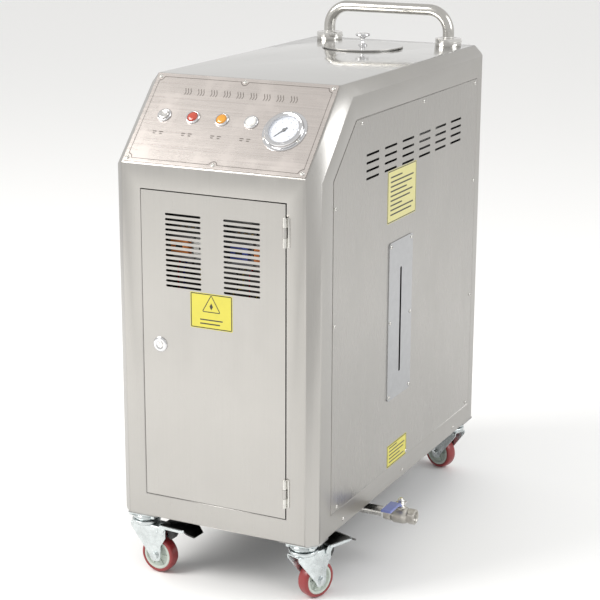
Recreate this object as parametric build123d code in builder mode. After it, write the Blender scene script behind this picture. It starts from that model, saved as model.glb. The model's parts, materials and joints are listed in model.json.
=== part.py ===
from build123d import *
import os
from math import cos, hypot, radians, sin

os.makedirs("parts", exist_ok=True)

# Mobile steam cleaner: a stainless sheet cabinet on four braked casters.
# Millimetres. X to the machine's right, -Y its front, Z up. The origin is on the floor
# under the middle of the cabinet.

# ---- cabinet ----
body_width = 430.0
body_depth = 844.0
body_bottom = 128.0
front_height = 706.0
slope_run = 144.0
slope_rise = 151.0
edge_facet = 22.0
rear_bend = 10.0
sheet = 1.5
skirt_gap = 0.3
panel_gap = 1.0
flange_lap = 14.0
flange_weld = 8.0

half_width = body_width / 2
front_y = -body_depth / 2
rear_y = body_depth / 2
fold_z = body_bottom + front_height
top_z = fold_z + slope_rise
slope_length = hypot(slope_run, slope_rise)
slope_normal = (0, -slope_rise / slope_length, slope_run / slope_length)

# ---- base pan ----
pan_thick = 4.0
pan_lip = 26.0
pan_wall = 2.0
pan_screw_depth = 8.0

pan_width = body_width - 2 * (sheet + skirt_gap)
pan_depth = body_depth - 2 * (sheet + skirt_gap)
pan_top = body_bottom + pan_thick

# ---- screws ----
screw_radius = 2.0
screw_hole = 2.15
screw_head = 4.0
screw_head_height = 2.2
screw_hex = 1.6
screw_drive = 1.2
head_taper = 18.0
screw_reach = 8.0
panel_screw_reach = 5.5
screw_inset = 8.0
skirt_screw_rise = 14.0
skirt_screw_inset = 126.0

# ---- door ----
door_width = 304.0
door_height = 609.0
door_sill = 48.5
door_gap = 1.5
door_fold = 16.0
louvre_count = 15
louvre_pitch = 9.86
louvre_width = 76.0
louvre_slot = 4.5
louvre_center_x = 62.0
louvre_top = 42.5
hinge_height = 55.0
hinge_inset = 52.0
knuckle_radius = 4.0
knuckle_clear = 0.2
hinge_pin_radius = 2.0
hinge_leaf = 7.0
hinge_leaf_thick = 1.5
hinge_leaf_start = 1.2
hinge_spine = 3.5
pin_crown = 1.5
pin_crown_inset = 1.0
hinge_gap = 0.5
pin_clearance = 0.05
lock_inset = 37.0
lock_height = 310.0
lock_radius = 9.5
lock_face_radius = 15.0
lock_face_thick = 3.0
lock_plug_radius = 6.0
cam_length = 46.0
cam_width = 14.0
cam_thick = 2.5
cam_gap = 1.0
cam_nut = 2.0
lock_face_taper = 14.0
lock_nut_gap = 0.1
lock_nut_inset = 1.5
lock_nut_thick = 4.0
plug_recess = 0.5
key_width = 1.4
key_height = 8.0
key_depth = 6.0

door_bottom = body_bottom + door_sill
lock_x = -door_width / 2 + lock_inset
door_middle = door_bottom + door_height / 2
return_depth = door_fold + 1.0

# ---- side panels ----
panel_front = 70.7
panel_rear = 35.0
panel_sill = 42.5
panel_top_drop = 68.0
panel_corner = 98.0
vent_columns = 6
vent_rows = 4
vent_pitch_y = 87.7
vent_pitch_z = 15.2
vent_length = 60.0
vent_slot = 4.5
vent_middle_y = 43.0
vent_top_drop = 141.0
panel_screw_shift = 60.0

# ---- level window ----
window_width = 120.0
window_height = 330.0
window_thick = 2.0
window_corner = 8.0
window_shift = -2.0
window_sill = 190.0
slit_width = 8.0
slit_height = 221.0
slit_drop = 58.0
sight_radius = 6.0
sight_wall = 1.2
sight_inset = 19.0
sight_block = 18.0
sight_overrun = 2.0
sight_stem = 5.5
sight_seat_gap = 0.1

# ---- rear panel ----
rear_panel_width = 380.0
rear_panel_sill = 36.0
rear_panel_height = 786.0
rear_vent_rows = 8
steam_hole = 11.0
gland_hole = 10.0

# ---- control plate ----
plate_width = 382.0
plate_height = 204.0
plate_thick = 2.0
plate_window_width = 340.0
plate_window_height = 166.0
plate_corner = 2.0
plate_hole_gap = 0.1
lamp_first_x = -141.0
lamp_pitch = 61.7
lamp_count = 4
lamp_t = 110.0
lamp_bezel_radius = 14.3
lamp_bezel_height = 3.5
lamp_body_radius = 11.0
lamp_body_depth = 46.0
lamp_lens_radius = 10.5
lamp_bore = 10.6
lamp_seat = 6.0
lamp_lens_rise = 6.0
button_rise = 3.0
button_travel = 3.0
button_play = 0.5
button_edge = 0.8
lamp_nut_gap = 0.05
lamp_nut_thick = 5.0
lamp_bezel_taper = 12.0
lens_round = 5.0
gauge_x = 117.5
gauge_t = 97.0
gauge_flange_radius = 44.0
gauge_flange_thick = 2.0
gauge_bezel_radius = 32.5
gauge_bezel_height = 9.0
gauge_bore = 29.5
gauge_depth = 44.0
gauge_screw_circle = 39.0
gauge_stem = 12.0
gauge_hole_gap = 0.5
gauge_screw_angles = (90.0, 210.0, 330.0)
dial_seat = 3.0
dial_thick = 0.8
dial_gap = 0.1
dial_hole = 1.6
glass_thick = 1.8
glass_recess = 0.7
glass_gap = 0.05
needle_tail = 9.0
needle_hub = 3.2
needle_root = 1.6
needle_tip = 0.4
needle_height = 5.2
needle_thick = 0.6
needle_shaft = 1.0
needle_depth = 6.0
needle_socket = 8.0
needle_length = 23.0
needle_rest_angle = 225.0

# ---- tank, lid and handle ----
lid_x = -10.0
lid_shift = 12.5
lid_radius = 87.5
lid_thick = 2.0
lid_skirt = 14.0
neck_radius = 80.0
neck_rise = 1.5
tank_width = 366.0
tank_depth = 275.0
tank_rear_gap = 22.0
tank_corner = 15.0
post_size = 24.0
post_inset_x = 50.0
post_inset_y = 20.0
neck_wall = 1.5
lid_edge = 0.8
lid_play = 0.6
tank_bottom = 300.0
tank_headroom = 26.0
knob_height = 27.5
knob_radius = 16.0
handle_spacing = 286.0
handle_inset = 32.0
handle_radius = 12.5
handle_wall = 1.5
handle_rise = 74.5
handle_bend = 46.0
handle_flange_radius = 29.0
handle_flange_height = 16.0
handle_flange_edge = 1.5

tank_rear = rear_y - tank_rear_gap
tank_front = tank_rear - tank_depth
tank_middle = (tank_front + tank_rear) / 2
lid_y = tank_middle + lid_shift

# ---- boiler and pipework ----
boiler_radius = 130.0
boiler_wall = 3.0
boiler_bottom = 265.0
boiler_top = 675.0
boiler_gap = 24.0
boss_radius = 12.0
leg_inset = 49.0
boss_height = 14.0
boiler_crown = 24.0
boiler_end = 20.0
boss_spread = 60.0
boss_sink = 1.0
feed_rise = 20.0
feed_boss_reach = 10.0
boss_root = 20.0
heater_z = 320.0
heater_flange_radius = 48.0
heater_flange_thick = 10.0
heater_boss_reach = 12.0
heater_boss_wall = 4.0
heater_step = 6.0
heater_cap_inset = 14.0
heater_cap = 26.0
heater_rod = 4.0
heater_reach = 200.0
heater_spacing = 20.0
heater_half_gap = 14.0
heater_bend = 13.5
valve_steps = ((0, 10, 6), (6, 14, 16), (22, 10, 34), (56, 6, 10))
pipe_radius = 8.0
gauge_pipe_radius = 3.0
pipe_bend = 22.0
pump_x = 30.0
pump_shift = -0.5
pump_z = 196.0
pump_motor_radius = 44.0
pump_motor_length = 115.0
pump_head_size = 56.0
pump_foot_length = 90.0
pump_foot_width = 70.0
pump_foot_shift = 58.0
pump_foot_sink = 6.0
feed_loop = 60.0
steam_loop = 50.0
steam_stub = 10.0
gauge_drop = 85.0
gauge_dogleg = 60.0
gauge_bend = 15.0
steam_gap = 30.0
post_clear = 7.0
steam_z = 240.0
outlet_steps = ((0, 16, 10), (10, 9.0, 24))
outlet_shank = 10.8
outlet_bore = 6.0
shank_depth = 10.0
gland_z = 215.0
gland_hex = 14.0
gland_hex_thick = 8.0
gland_dome = 12.0
gland_dome_height = 14.0
gland_taper = 10.0
gland_shank = 9.8
gland_bore = 5.0
gland_x = 60.0

boiler_y = tank_front - boiler_gap - boiler_radius
window_y = boiler_y + window_shift
pump_y = tank_middle + pump_shift
post_outer = tank_width / 2 - post_inset_x + post_size / 2
steam_x = -max(boiler_radius + steam_gap, post_outer + post_clear + pipe_radius)

# ---- equipment plate and electrical gear ----
equipment_setback = 100.0
equipment_height = 652.0
equipment_inset = 8.0
equipment_thick = 2.0
equipment_foot = 32.0
rail_inset = 40.0
rail_height = 35.0
rail_depth = 7.0
rail_drop = 170.0
contactor_places = (-88.0, -38.0, 40.0, 90.0)
contactor_width = 45.0
contactor_height = 78.0
contactor_depth = 48.0
contactor_nose = 44.0
contactor_nose_depth = 16.0
terminal_count = 16
terminal_pitch = 10.0
terminal_width = 9.4
terminal_height = 46.0
terminal_depth = 38.0

# ---- drain ----
drain_x = 30.0
drain_inset = 22.0
drain_z = 102.0
drain_pipe_radius = 10.65
drain_pipe_bore = 8.0
drain_bend = 26.0
valve_start = 238.0
valve_length = 66.0
valve_radius = 16.0
ball_radius = 13.0
port_radius = 7.5
thread_radius = 10.6
thread_depth = 14.0
ball_clear = 0.05
stem_radius = 4.0
stem_rise = 34.0
lever_length = 78.0
lever_width = 22.0
lever_thick = 3.0
lever_tail = 12.0
lever_rise = 9.0
lever_bend_start = 18.0
lever_bend_end = 30.0
lever_drop = 10.0
lever_round = 6.0
lever_nut = 7.5
lever_nut_thick = 5.0
valve_hex = 15.0
valve_belly = 1.5
valve_overlap = 2.0
tower_radius = 9.0
tower_rise = 6.0
stem_sink = 3.0

drain_y = boiler_y - boiler_radius + drain_inset

# ---- casters ----
caster_inset_x = 40.0
caster_inset_front = 33.0
caster_inset_rear = 28.0
pad_thick = 4.0
caster_plate_x = 78.0
caster_plate_y = 56.0
caster_plate_thick = 3.0
race_radius = 27.0
race_height = 8.0
race_gap = 0.5
kingpin_radius = 6.0
wheel_radius = 37.5
wheel_width = 26.0
tread_thick = 7.5
axle_radius = 4.0
caster_trail = 32.0
fork_thick = 3.0
fork_side_gap = 1.5
crown_height = 10.0
pedal_reach = 128.0
pedal_width = 50.0
pedal_thick = 2.5
pedal_travel = 12.0
shoe_thick = 7.0

core_radius = wheel_radius - tread_thick
plate_bottom = body_bottom - pad_thick - caster_plate_thick
caster_angles = {"front_left": -4.0, "front_right": 68.0, "rear_right": 160.0, "rear_left": 200.0}
caster_places = {
    "front_left": (-half_width + caster_inset_x, front_y + caster_inset_front),
    "front_right": (half_width - caster_inset_x, front_y + caster_inset_front),
    "rear_right": (half_width - caster_inset_x, rear_y - caster_inset_rear),
    "rear_left": (-half_width + caster_inset_x, rear_y - caster_inset_rear),
}


def save(piece, name):
    """Label a finished piece and write its STEP."""
    piece.label = name
    export_step(piece, f"parts/{name}.step")


def slope_plane(x, t, height=0.0):
    """A plane on the sloped control face: x across, t up the slope, height off the sheet."""
    n = slope_normal
    up = (slope_run / slope_length, slope_rise / slope_length)
    origin = (x, front_y + t * up[0] + height * n[1], fold_z + t * up[1] + height * n[2])
    return Plane(origin=origin, x_dir=(1, 0, 0), z_dir=n)


def button_screws(planes, reach=screw_reach):
    """Button-head screws, one for each plane: the head sits on it, the shank goes below."""
    with BuildPart() as screws:
        for plane in planes:
            with BuildSketch(plane):
                Circle(screw_head)
            extrude(amount=screw_head_height, taper=head_taper)
            with BuildSketch(plane.offset(screw_head_height)):
                RegularPolygon(screw_hex, 6)
            extrude(amount=-screw_drive, mode=Mode.SUBTRACT)
            with BuildSketch(plane):
                Circle(screw_radius)
            extrude(amount=-reach)
    return screws.part


def bent_tube(points, bend, radius, bore=0.0):
    """A tube along straight runs joined by tangent arcs."""
    with BuildPart() as tube:
        with BuildLine() as route:
            FilletPolyline(*points, radius=bend)
        with BuildSketch(Plane(origin=route.line @ 0, z_dir=route.line % 0)):
            Circle(radius)
            if bore:
                Circle(bore, mode=Mode.SUBTRACT)
        sweep(path=route.line)
    return tube.part


# ---- cabinet shell ----
def side_outline(inset):
    """Corners of the cabinet seen from the side, moved in by inset (in Y and Z)."""
    shift = inset * (slope_length - slope_rise) / slope_run
    rise = inset * (slope_length - slope_run) / slope_rise
    return [
        (front_y + inset, body_bottom),
        (front_y + inset, fold_z - shift),
        (front_y + slope_run + rise, top_z - inset),
        (rear_y - inset, top_z - inset),
        (rear_y - inset, body_bottom),
    ]


def cabinet_form(inset):
    """The cabinet's solid outer form, faceted along its front, slope and top edges."""
    facet = edge_facet - inset * (2 - 2**0.5)
    width = body_width - 2 * inset
    with BuildPart() as form:
        with BuildSketch(Plane.YZ.offset(-width / 2)):
            with BuildLine():
                Polyline(*side_outline(inset), close=True)
            make_face()
        extrude(amount=width)
        upright = form.edges().filter_by(Axis.Z).group_by(Axis.Y)
        sloped = [e for e in form.edges() if abs(e.tangent_at(0.5).Y * e.tangent_at(0.5).Z) > 0.1]
        long_top = form.edges().filter_by(Axis.Y).group_by(Axis.Z)[-1]
        chamfer(list(upright[0]) + sloped + list(long_top), length=facet)
    return form.part


door_opening = (door_width + 2 * door_gap, door_height + 2 * door_gap)
rear_middle = body_bottom + rear_panel_sill + rear_panel_height / 2
panel_ends = (front_y + panel_front, rear_y - panel_rear)
panel_low = body_bottom + panel_sill
panel_high = top_z - panel_top_drop
window_middle = body_bottom + window_sill + window_height / 2
slit_middle = window_middle + window_height / 2 - slit_drop - slit_height / 2


def panel_outline(grow):
    """Side panel outline in Y and Z: a rectangle with its front top corner cut off."""
    cut = panel_corner + grow * (2 - 2**0.5) - grow
    return [
        (panel_ends[0] - grow, panel_low - grow),
        (panel_ends[0] - grow, panel_high - cut),
        (panel_ends[0] + cut, panel_high + grow),
        (panel_ends[1] + grow, panel_high + grow),
        (panel_ends[1] + grow, panel_low - grow),
    ]


def panel_screw_points():
    """Screws round a side panel, in Y and Z."""
    top = panel_high - screw_inset
    low = panel_low + screw_inset
    front = panel_ends[0] + screw_inset
    rear = panel_ends[1] - screw_inset
    middle = (panel_ends[0] + panel_ends[1]) / 2
    top_front = panel_ends[0] + panel_corner + 3 * screw_inset
    rows = [(y, top) for y in (top_front, middle + panel_screw_shift, rear - screw_inset)]
    rows += [(y, low) for y in (front + 2 * screw_inset, middle, rear - screw_inset)]
    rows += [(front, panel_low + (panel_high - panel_low) * share) for share in (0.5, 0.8)]
    rows += [(rear, panel_low + (panel_high - panel_low) * share) for share in (0.35, 0.7)]
    return rows


def skirt_screw_points():
    """Screws that hold the shell's skirt to the base pan, in Y and Z."""
    span = body_depth / 2 - skirt_screw_inset
    return [(y, body_bottom + skirt_screw_rise) for y in (-span, 0.0, span)]


def rear_screw_points():
    """Screws round the rear panel, in X and Z."""
    x = rear_panel_width / 2 - screw_inset
    z = rear_panel_height / 2 - screw_inset
    corners = [(sx * x, rear_middle + sz * z) for sx in (-1, 1) for sz in (-1, 1)]
    return corners + [(sx * x, rear_middle) for sx in (-1, 1)] + [(0, rear_middle + z)]


def window_screw_points():
    """Screws of the level window plate, in Y and Z."""
    y = window_width / 2 - screw_inset
    z = window_height / 2 - screw_inset
    return [(window_y + sy * y, window_middle + sz * z) for sy in (-1, 1) for sz in (-1, 0, 1)]


plate_screws = [
    (sx * (plate_width / 2 - screw_inset), slope_length / 2 + st * (plate_height / 2 - screw_inset))
    for sx in (-1, 0, 1)
    for st in (-1, 1)
]
tank_top = top_z - tank_headroom
neck_top = top_z + neck_rise
handle_y = rear_y - handle_inset
handle_feet = [-handle_spacing / 2, handle_spacing / 2]

with BuildPart() as body_shell:
    add(cabinet_form(0))
    fillet(body_shell.edges().filter_by(Axis.Z).group_by(Axis.Y)[-1], radius=rear_bend)
    with BuildPart(mode=Mode.PRIVATE) as hollow:
        add(cabinet_form(sheet))
        fillet(hollow.edges().filter_by(Axis.Z).group_by(Axis.Y)[-1], radius=rear_bend - sheet)
    add(hollow.part, mode=Mode.SUBTRACT)
    # door opening with its folded-in return
    with BuildSketch(Plane.XZ.offset(-front_y)):
        with Locations((0, door_middle)):
            Rectangle(door_opening[0] + 2 * sheet, door_opening[1] + 2 * sheet)
    extrude(amount=-return_depth)
    with BuildSketch(Plane.XZ.offset(-front_y)):
        with Locations((0, door_middle)):
            Rectangle(*door_opening)
    extrude(amount=-return_depth, mode=Mode.SUBTRACT)
    # side openings with set-back flanges
    for side in (-1, 1):
        inner = side * (half_width - sheet)
        with BuildSketch(Plane.YZ.offset(inner)):
            with BuildLine():
                Polyline(*panel_outline(flange_weld), close=True)
            make_face()
        extrude(amount=-side * sheet)
        with BuildSketch(Plane.YZ.offset(side * half_width)):
            with BuildLine():
                Polyline(*panel_outline(-flange_lap), close=True)
            make_face()
        extrude(amount=-side * 3 * sheet, mode=Mode.SUBTRACT)
        with BuildSketch(Plane.YZ.offset(side * half_width)):
            with BuildLine():
                Polyline(*panel_outline(panel_gap), close=True)
            make_face()
        extrude(amount=-side * sheet, mode=Mode.SUBTRACT)
        with BuildSketch(Plane.YZ.offset(side * half_width)):
            with Locations(*panel_screw_points(), *skirt_screw_points()):
                Circle(screw_hole)
        extrude(amount=-side * 3 * sheet, mode=Mode.SUBTRACT)
    # rear opening with its flange
    with BuildSketch(Plane.XZ.offset(-(rear_y - 2 * sheet))):
        with Locations((0, rear_middle)):
            Rectangle(rear_panel_width + 2 * flange_weld, rear_panel_height + 2 * flange_weld)
            Rectangle(
                rear_panel_width - 2 * flange_lap,
                rear_panel_height - 2 * flange_lap,
                mode=Mode.SUBTRACT,
            )
    extrude(amount=-sheet)
    with BuildSketch(Plane.XZ.offset(-(rear_y - sheet))):
        with Locations((0, rear_middle)):
            Rectangle(rear_panel_width + 2 * panel_gap, rear_panel_height + 2 * panel_gap)
    extrude(amount=-sheet, mode=Mode.SUBTRACT)
    with BuildSketch(Plane.XZ.offset(-rear_y)):
        with Locations(*rear_screw_points()):
            Circle(screw_hole)
    extrude(amount=3 * sheet, mode=Mode.SUBTRACT)
    # window behind the control plate, and its screw holes
    with BuildSketch(slope_plane(0, slope_length / 2)):
        Rectangle(plate_window_width, plate_window_height)
    extrude(amount=-2 * sheet, mode=Mode.SUBTRACT)
    for x, t in plate_screws:
        with BuildSketch(slope_plane(x, t)):
            Circle(screw_hole)
        extrude(amount=-2 * sheet, mode=Mode.SUBTRACT)
    # filler hole and handle bolt holes in the roof
    with BuildSketch(Plane.XY.offset(top_z)):
        with Locations((lid_x, lid_y)):
            Circle(neck_radius + panel_gap)
    extrude(amount=-2 * sheet, mode=Mode.SUBTRACT)
save(body_shell.part, "body_shell")

# ---- base pan: floor sheet with turned-up edges, welded caster pads and tank posts ----


def pan_sheet(inset):
    """Floor sheet outline with its front corners cut to the cabinet's facets."""
    with BuildSketch() as outline:
        Rectangle(pan_width - 2 * inset, pan_depth - 2 * inset)
        chamfer(outline.vertices().group_by(Axis.Y)[0], length=edge_facet)
        fillet(outline.vertices().group_by(Axis.Y)[-1], radius=rear_bend)
    return outline.sketch


with BuildPart() as base_pan:
    with BuildSketch(Plane.XY.offset(body_bottom)):
        add(pan_sheet(0))
    extrude(amount=pan_lip)
    with BuildSketch(Plane.XY.offset(pan_top)):
        add(pan_sheet(pan_wall))
    extrude(amount=pan_lip, mode=Mode.SUBTRACT)
    with BuildSketch(Plane.XY.offset(body_bottom)):
        with Locations(*caster_places.values()):
            Rectangle(caster_plate_x, caster_plate_y)
    extrude(amount=-pad_thick)
    with BuildSketch(Plane.XY.offset(pan_top)):
        with Locations((0, tank_middle)):
            with GridLocations(
                tank_width - 2 * post_inset_x, tank_depth - 2 * post_inset_y, 2, 2
            ):
                Rectangle(post_size, post_size)
    extrude(amount=tank_bottom - pan_top)
    with BuildSketch(Plane.XY.offset(pan_top)):
        with Locations((drain_x, drain_y)):
            Circle(drain_pipe_radius + panel_gap)
    extrude(amount=-pan_thick, mode=Mode.SUBTRACT)
    for side in (-1, 1):
        with BuildSketch(Plane.YZ.offset(side * half_width)):
            with Locations(*skirt_screw_points()):
                Circle(screw_hole)
        extrude(amount=-side * pan_screw_depth, mode=Mode.SUBTRACT)
save(base_pan.part, "base_pan")


# ---- side panels ----
def side_panel(side, windowed):
    """A flush removable side panel with its block of vent slots."""
    with BuildPart() as panel:
        with BuildSketch(Plane.YZ.offset(side * half_width)):
            with BuildLine():
                Polyline(*panel_outline(0), close=True)
            make_face()
        extrude(amount=-side * sheet)
        with BuildSketch(Plane.YZ.offset(side * half_width)):
            with Locations((vent_middle_y, top_z - vent_top_drop - 1.5 * vent_pitch_z)):
                with GridLocations(vent_pitch_y, vent_pitch_z, vent_columns, vent_rows):
                    SlotOverall(vent_length, vent_slot)
            with Locations(*panel_screw_points()):
                Circle(screw_hole)
            if windowed:
                with Locations((window_y, slit_middle)):
                    Rectangle(4 * slit_width, slit_height + 2 * slit_width)
                with Locations(*window_screw_points()):
                    Circle(screw_hole)
        extrude(amount=-side * sheet, mode=Mode.SUBTRACT)
    return panel.part


save(side_panel(1, True), "side_panel_right")
save(side_panel(-1, False), "side_panel_left")

fitting_places = {
    "steam_outlet": (steam_x, steam_z, steam_hole),
    "cable_gland": (gland_x, gland_z, gland_hole),
}

with BuildPart() as rear_panel:
    with BuildSketch(Plane.XZ.offset(-rear_y)):
        with Locations((0, rear_middle)):
            Rectangle(rear_panel_width, rear_panel_height)
        with Locations(*rear_screw_points()):
            Circle(screw_hole, mode=Mode.SUBTRACT)
        for x, z, radius in fitting_places.values():
            with Locations((x, z)):
                Circle(radius, mode=Mode.SUBTRACT)
        with Locations((0, rear_middle + rear_panel_height / 4)):
            with GridLocations(2 * louvre_center_x, vent_pitch_z, 2, rear_vent_rows):
                SlotOverall(louvre_width, vent_slot, mode=Mode.SUBTRACT)
    extrude(amount=sheet)
save(rear_panel.part, "rear_panel")

# ---- level window plate ----
with BuildPart() as window_plate:
    with BuildSketch(Plane.YZ.offset(half_width)):
        with Locations((window_y, window_middle)):
            RectangleRounded(window_width, window_height, window_corner)
        with Locations((window_y, slit_middle)):
            SlotOverall(slit_height, slit_width, rotation=90, mode=Mode.SUBTRACT)
        with Locations(*window_screw_points()):
            Circle(screw_hole, mode=Mode.SUBTRACT)
    extrude(amount=window_thick)
save(window_plate.part, "window_plate")

# ---- cabinet screws, all one size ----
screw_planes = []
for side in (-1, 1):
    for y, z in panel_screw_points() + skirt_screw_points():
        screw_planes.append(Plane(origin=(side * half_width, y, z), z_dir=(side, 0, 0)))
for x, z in rear_screw_points():
    screw_planes.append(Plane(origin=(x, rear_y, z), z_dir=(0, 1, 0)))
for y, z in window_screw_points():
    screw_planes.append(Plane(origin=(half_width + window_thick, y, z), z_dir=(1, 0, 0)))
save(button_screws(screw_planes, reach=panel_screw_reach), "panel_screws")

# ---- control plate ----
with BuildPart() as control_plate:
    with BuildSketch(slope_plane(0, slope_length / 2)):
        RectangleRounded(plate_width, plate_height, plate_corner)
    extrude(amount=plate_thick)
    for index in range(lamp_count):
        with BuildSketch(slope_plane(lamp_first_x + index * lamp_pitch, lamp_t)):
            Circle(lamp_body_radius + plate_hole_gap)
        extrude(amount=plate_thick, mode=Mode.SUBTRACT)
    with BuildSketch(slope_plane(gauge_x, gauge_t)):
        Circle(gauge_bezel_radius + gauge_hole_gap)
        with PolarLocations(gauge_screw_circle, 3, start_angle=90):
            Circle(screw_hole)
    extrude(amount=plate_thick, mode=Mode.SUBTRACT)
    for x, t in plate_screws:
        with BuildSketch(slope_plane(x, t)):
            Circle(screw_hole)
        extrude(amount=plate_thick, mode=Mode.SUBTRACT)
save(control_plate.part, "control_plate")

gauge_screws = [
    (gauge_x + gauge_screw_circle * cos(radians(a)), gauge_t + gauge_screw_circle * sin(radians(a)))
    for a in gauge_screw_angles
]
control_planes = [slope_plane(x, t, plate_thick) for x, t in plate_screws]
control_planes += [slope_plane(x, t, plate_thick + gauge_flange_thick) for x, t in gauge_screws]
save(button_screws(control_planes), "control_panel_screws")

# ---- pressure gauge ----
glass_seat = gauge_bezel_height - glass_thick - glass_recess
gauge_base = slope_plane(gauge_x, gauge_t, plate_thick)
with BuildPart() as gauge_case:
    with BuildSketch(gauge_base):
        Circle(gauge_flange_radius)
    extrude(amount=gauge_flange_thick)
    with BuildSketch(gauge_base):
        Circle(gauge_bezel_radius)
    extrude(amount=gauge_bezel_height)
    with BuildSketch(gauge_base):
        Circle(gauge_bezel_radius)
    extrude(amount=-gauge_depth)
    with BuildSketch(gauge_base.offset(-gauge_depth)):
        Circle(boss_radius / 2)
    extrude(amount=-gauge_stem)
    with BuildSketch(gauge_base.offset(gauge_bezel_height)):
        Circle(gauge_bore)
    extrude(amount=-(gauge_bezel_height - dial_seat), mode=Mode.SUBTRACT)
    with BuildSketch(gauge_base.offset(dial_seat)):
        Circle(needle_shaft + pin_clearance)
    extrude(amount=-needle_socket, mode=Mode.SUBTRACT)
    with BuildSketch(gauge_base):
        with PolarLocations(gauge_screw_circle, 3, start_angle=90):
            Circle(screw_hole)
    extrude(amount=gauge_flange_thick, mode=Mode.SUBTRACT)
save(gauge_case.part, "gauge_case")

with BuildPart() as gauge_dial:
    with BuildSketch(gauge_base.offset(dial_seat)):
        Circle(gauge_bore - dial_gap)
        Circle(dial_hole, mode=Mode.SUBTRACT)
    extrude(amount=dial_thick)
save(gauge_dial.part, "gauge_dial")

with BuildPart() as gauge_glass:
    with BuildSketch(gauge_base.offset(glass_seat)):
        Circle(gauge_bore - glass_gap)
    extrude(amount=glass_thick)
save(gauge_glass.part, "gauge_glass")

with BuildPart() as gauge_needle:
    with BuildSketch(gauge_base.offset(needle_height)) as pointer:
        with BuildLine():
            Polyline(
                (-needle_tail, -needle_root),
                (needle_length, -needle_tip),
                (needle_length, needle_tip),
                (-needle_tail, needle_root),
                close=True,
            )
        make_face()
        Circle(needle_hub)
    extrude(amount=needle_thick)
    with BuildSketch(gauge_base.offset(needle_height)):
        Circle(needle_shaft)
    extrude(amount=-(needle_height - dial_seat + needle_depth))
needle_turned = gauge_needle.part.rotate(
    Axis(gauge_base.origin, gauge_base.z_dir), needle_rest_angle
)
save(needle_turned, "gauge_needle")

# ---- pilot lamps and power button ----
lamp_planes = [
    slope_plane(lamp_first_x + i * lamp_pitch, lamp_t, plate_thick) for i in range(lamp_count)
]
with BuildPart() as pilot_housings:
    for plane in lamp_planes:
        with BuildSketch(plane):
            Circle(lamp_bezel_radius)
        extrude(amount=lamp_bezel_height, taper=lamp_bezel_taper)
        with BuildSketch(plane):
            Circle(lamp_body_radius)
        extrude(amount=-lamp_body_depth)
        with BuildSketch(plane.offset(-plate_thick - lamp_nut_gap)):
            Circle(lamp_bezel_radius)
        extrude(amount=-lamp_nut_thick)
        with BuildSketch(plane.offset(lamp_bezel_height)):
            Circle(lamp_bore)
        extrude(amount=-(lamp_bezel_height + lamp_seat), mode=Mode.SUBTRACT)
save(pilot_housings.part, "pilot_housings")


def lamp_lens(plane):
    """A domed pilot lamp lens seated at the bottom of its housing."""
    height = lamp_seat + lamp_bezel_height + lamp_lens_rise
    with BuildPart() as lens:
        with BuildSketch(plane.offset(-lamp_seat)):
            Circle(lamp_lens_radius)
        extrude(amount=height)
        fillet(lens.faces().sort_by(Axis(plane.origin, plane.z_dir))[-1].edges(), radius=lens_round)
    return lens.part


for plane, colour in zip(lamp_planes[1:], ("red", "amber", "clear")):
    save(lamp_lens(plane), f"lamp_lens_{colour}")

with BuildPart() as power_button:
    with BuildSketch(lamp_planes[0].offset(-lamp_seat + button_travel + button_play)):
        Circle(lamp_lens_radius)
    extrude(amount=lamp_seat - button_travel - button_play + lamp_bezel_height + button_rise)
    chamfer(
        power_button.faces().sort_by(Axis(lamp_planes[0].origin, lamp_planes[0].z_dir))[-1].edges(),
        length=button_edge,
    )
save(power_button.part, "power_button")

# ---- door, hinges and lock ----
hinge_x = door_width / 2 + door_gap / 2
hinge_y = front_y - knuckle_radius - knuckle_clear
hinge_centers = [
    door_bottom + hinge_inset,
    door_bottom + door_height - hinge_inset,
]
knuckle_height = (hinge_height - 2 * hinge_gap) / 3
leaf_middle = hinge_x + hinge_leaf_start + hinge_leaf / 2
spine_middle = hinge_x + hinge_leaf_start + hinge_leaf - hinge_spine / 2
lock_z = door_bottom + lock_height

with BuildPart() as door:
    with BuildSketch(Plane.XZ.offset(-front_y)):
        with Locations((0, door_middle)):
            Rectangle(door_width, door_height)
    extrude(amount=-door_fold)
    with BuildSketch(Plane.XZ.offset(-front_y - sheet)):
        with Locations((0, door_middle)):
            Rectangle(door_width - 2 * sheet, door_height - 2 * sheet)
    extrude(amount=-door_fold, mode=Mode.SUBTRACT)
    louvre_middle = door_bottom + door_height - louvre_top - (louvre_count - 1) * louvre_pitch / 2
    with BuildSketch(Plane.XZ.offset(-front_y)):
        with Locations((0, louvre_middle)):
            with GridLocations(2 * louvre_center_x, louvre_pitch, 2, louvre_count):
                SlotOverall(louvre_width, louvre_slot)
        with Locations((lock_x, lock_z)):
            Circle(lock_radius)
    extrude(amount=-sheet, mode=Mode.SUBTRACT)
    for z in hinge_centers:
        with BuildSketch(Plane.XY.offset(z - knuckle_height / 2)):
            with Locations((hinge_x, hinge_y)):
                Circle(knuckle_radius)
            with Locations((hinge_x - hinge_leaf / 2 - hinge_leaf_start, front_y - hinge_leaf_thick / 2)):
                Rectangle(hinge_leaf, hinge_leaf_thick)
            with Locations((hinge_x, hinge_y)):
                Circle(hinge_pin_radius + pin_clearance, mode=Mode.SUBTRACT)
        extrude(amount=knuckle_height)
save(door.part, "door")

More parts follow.
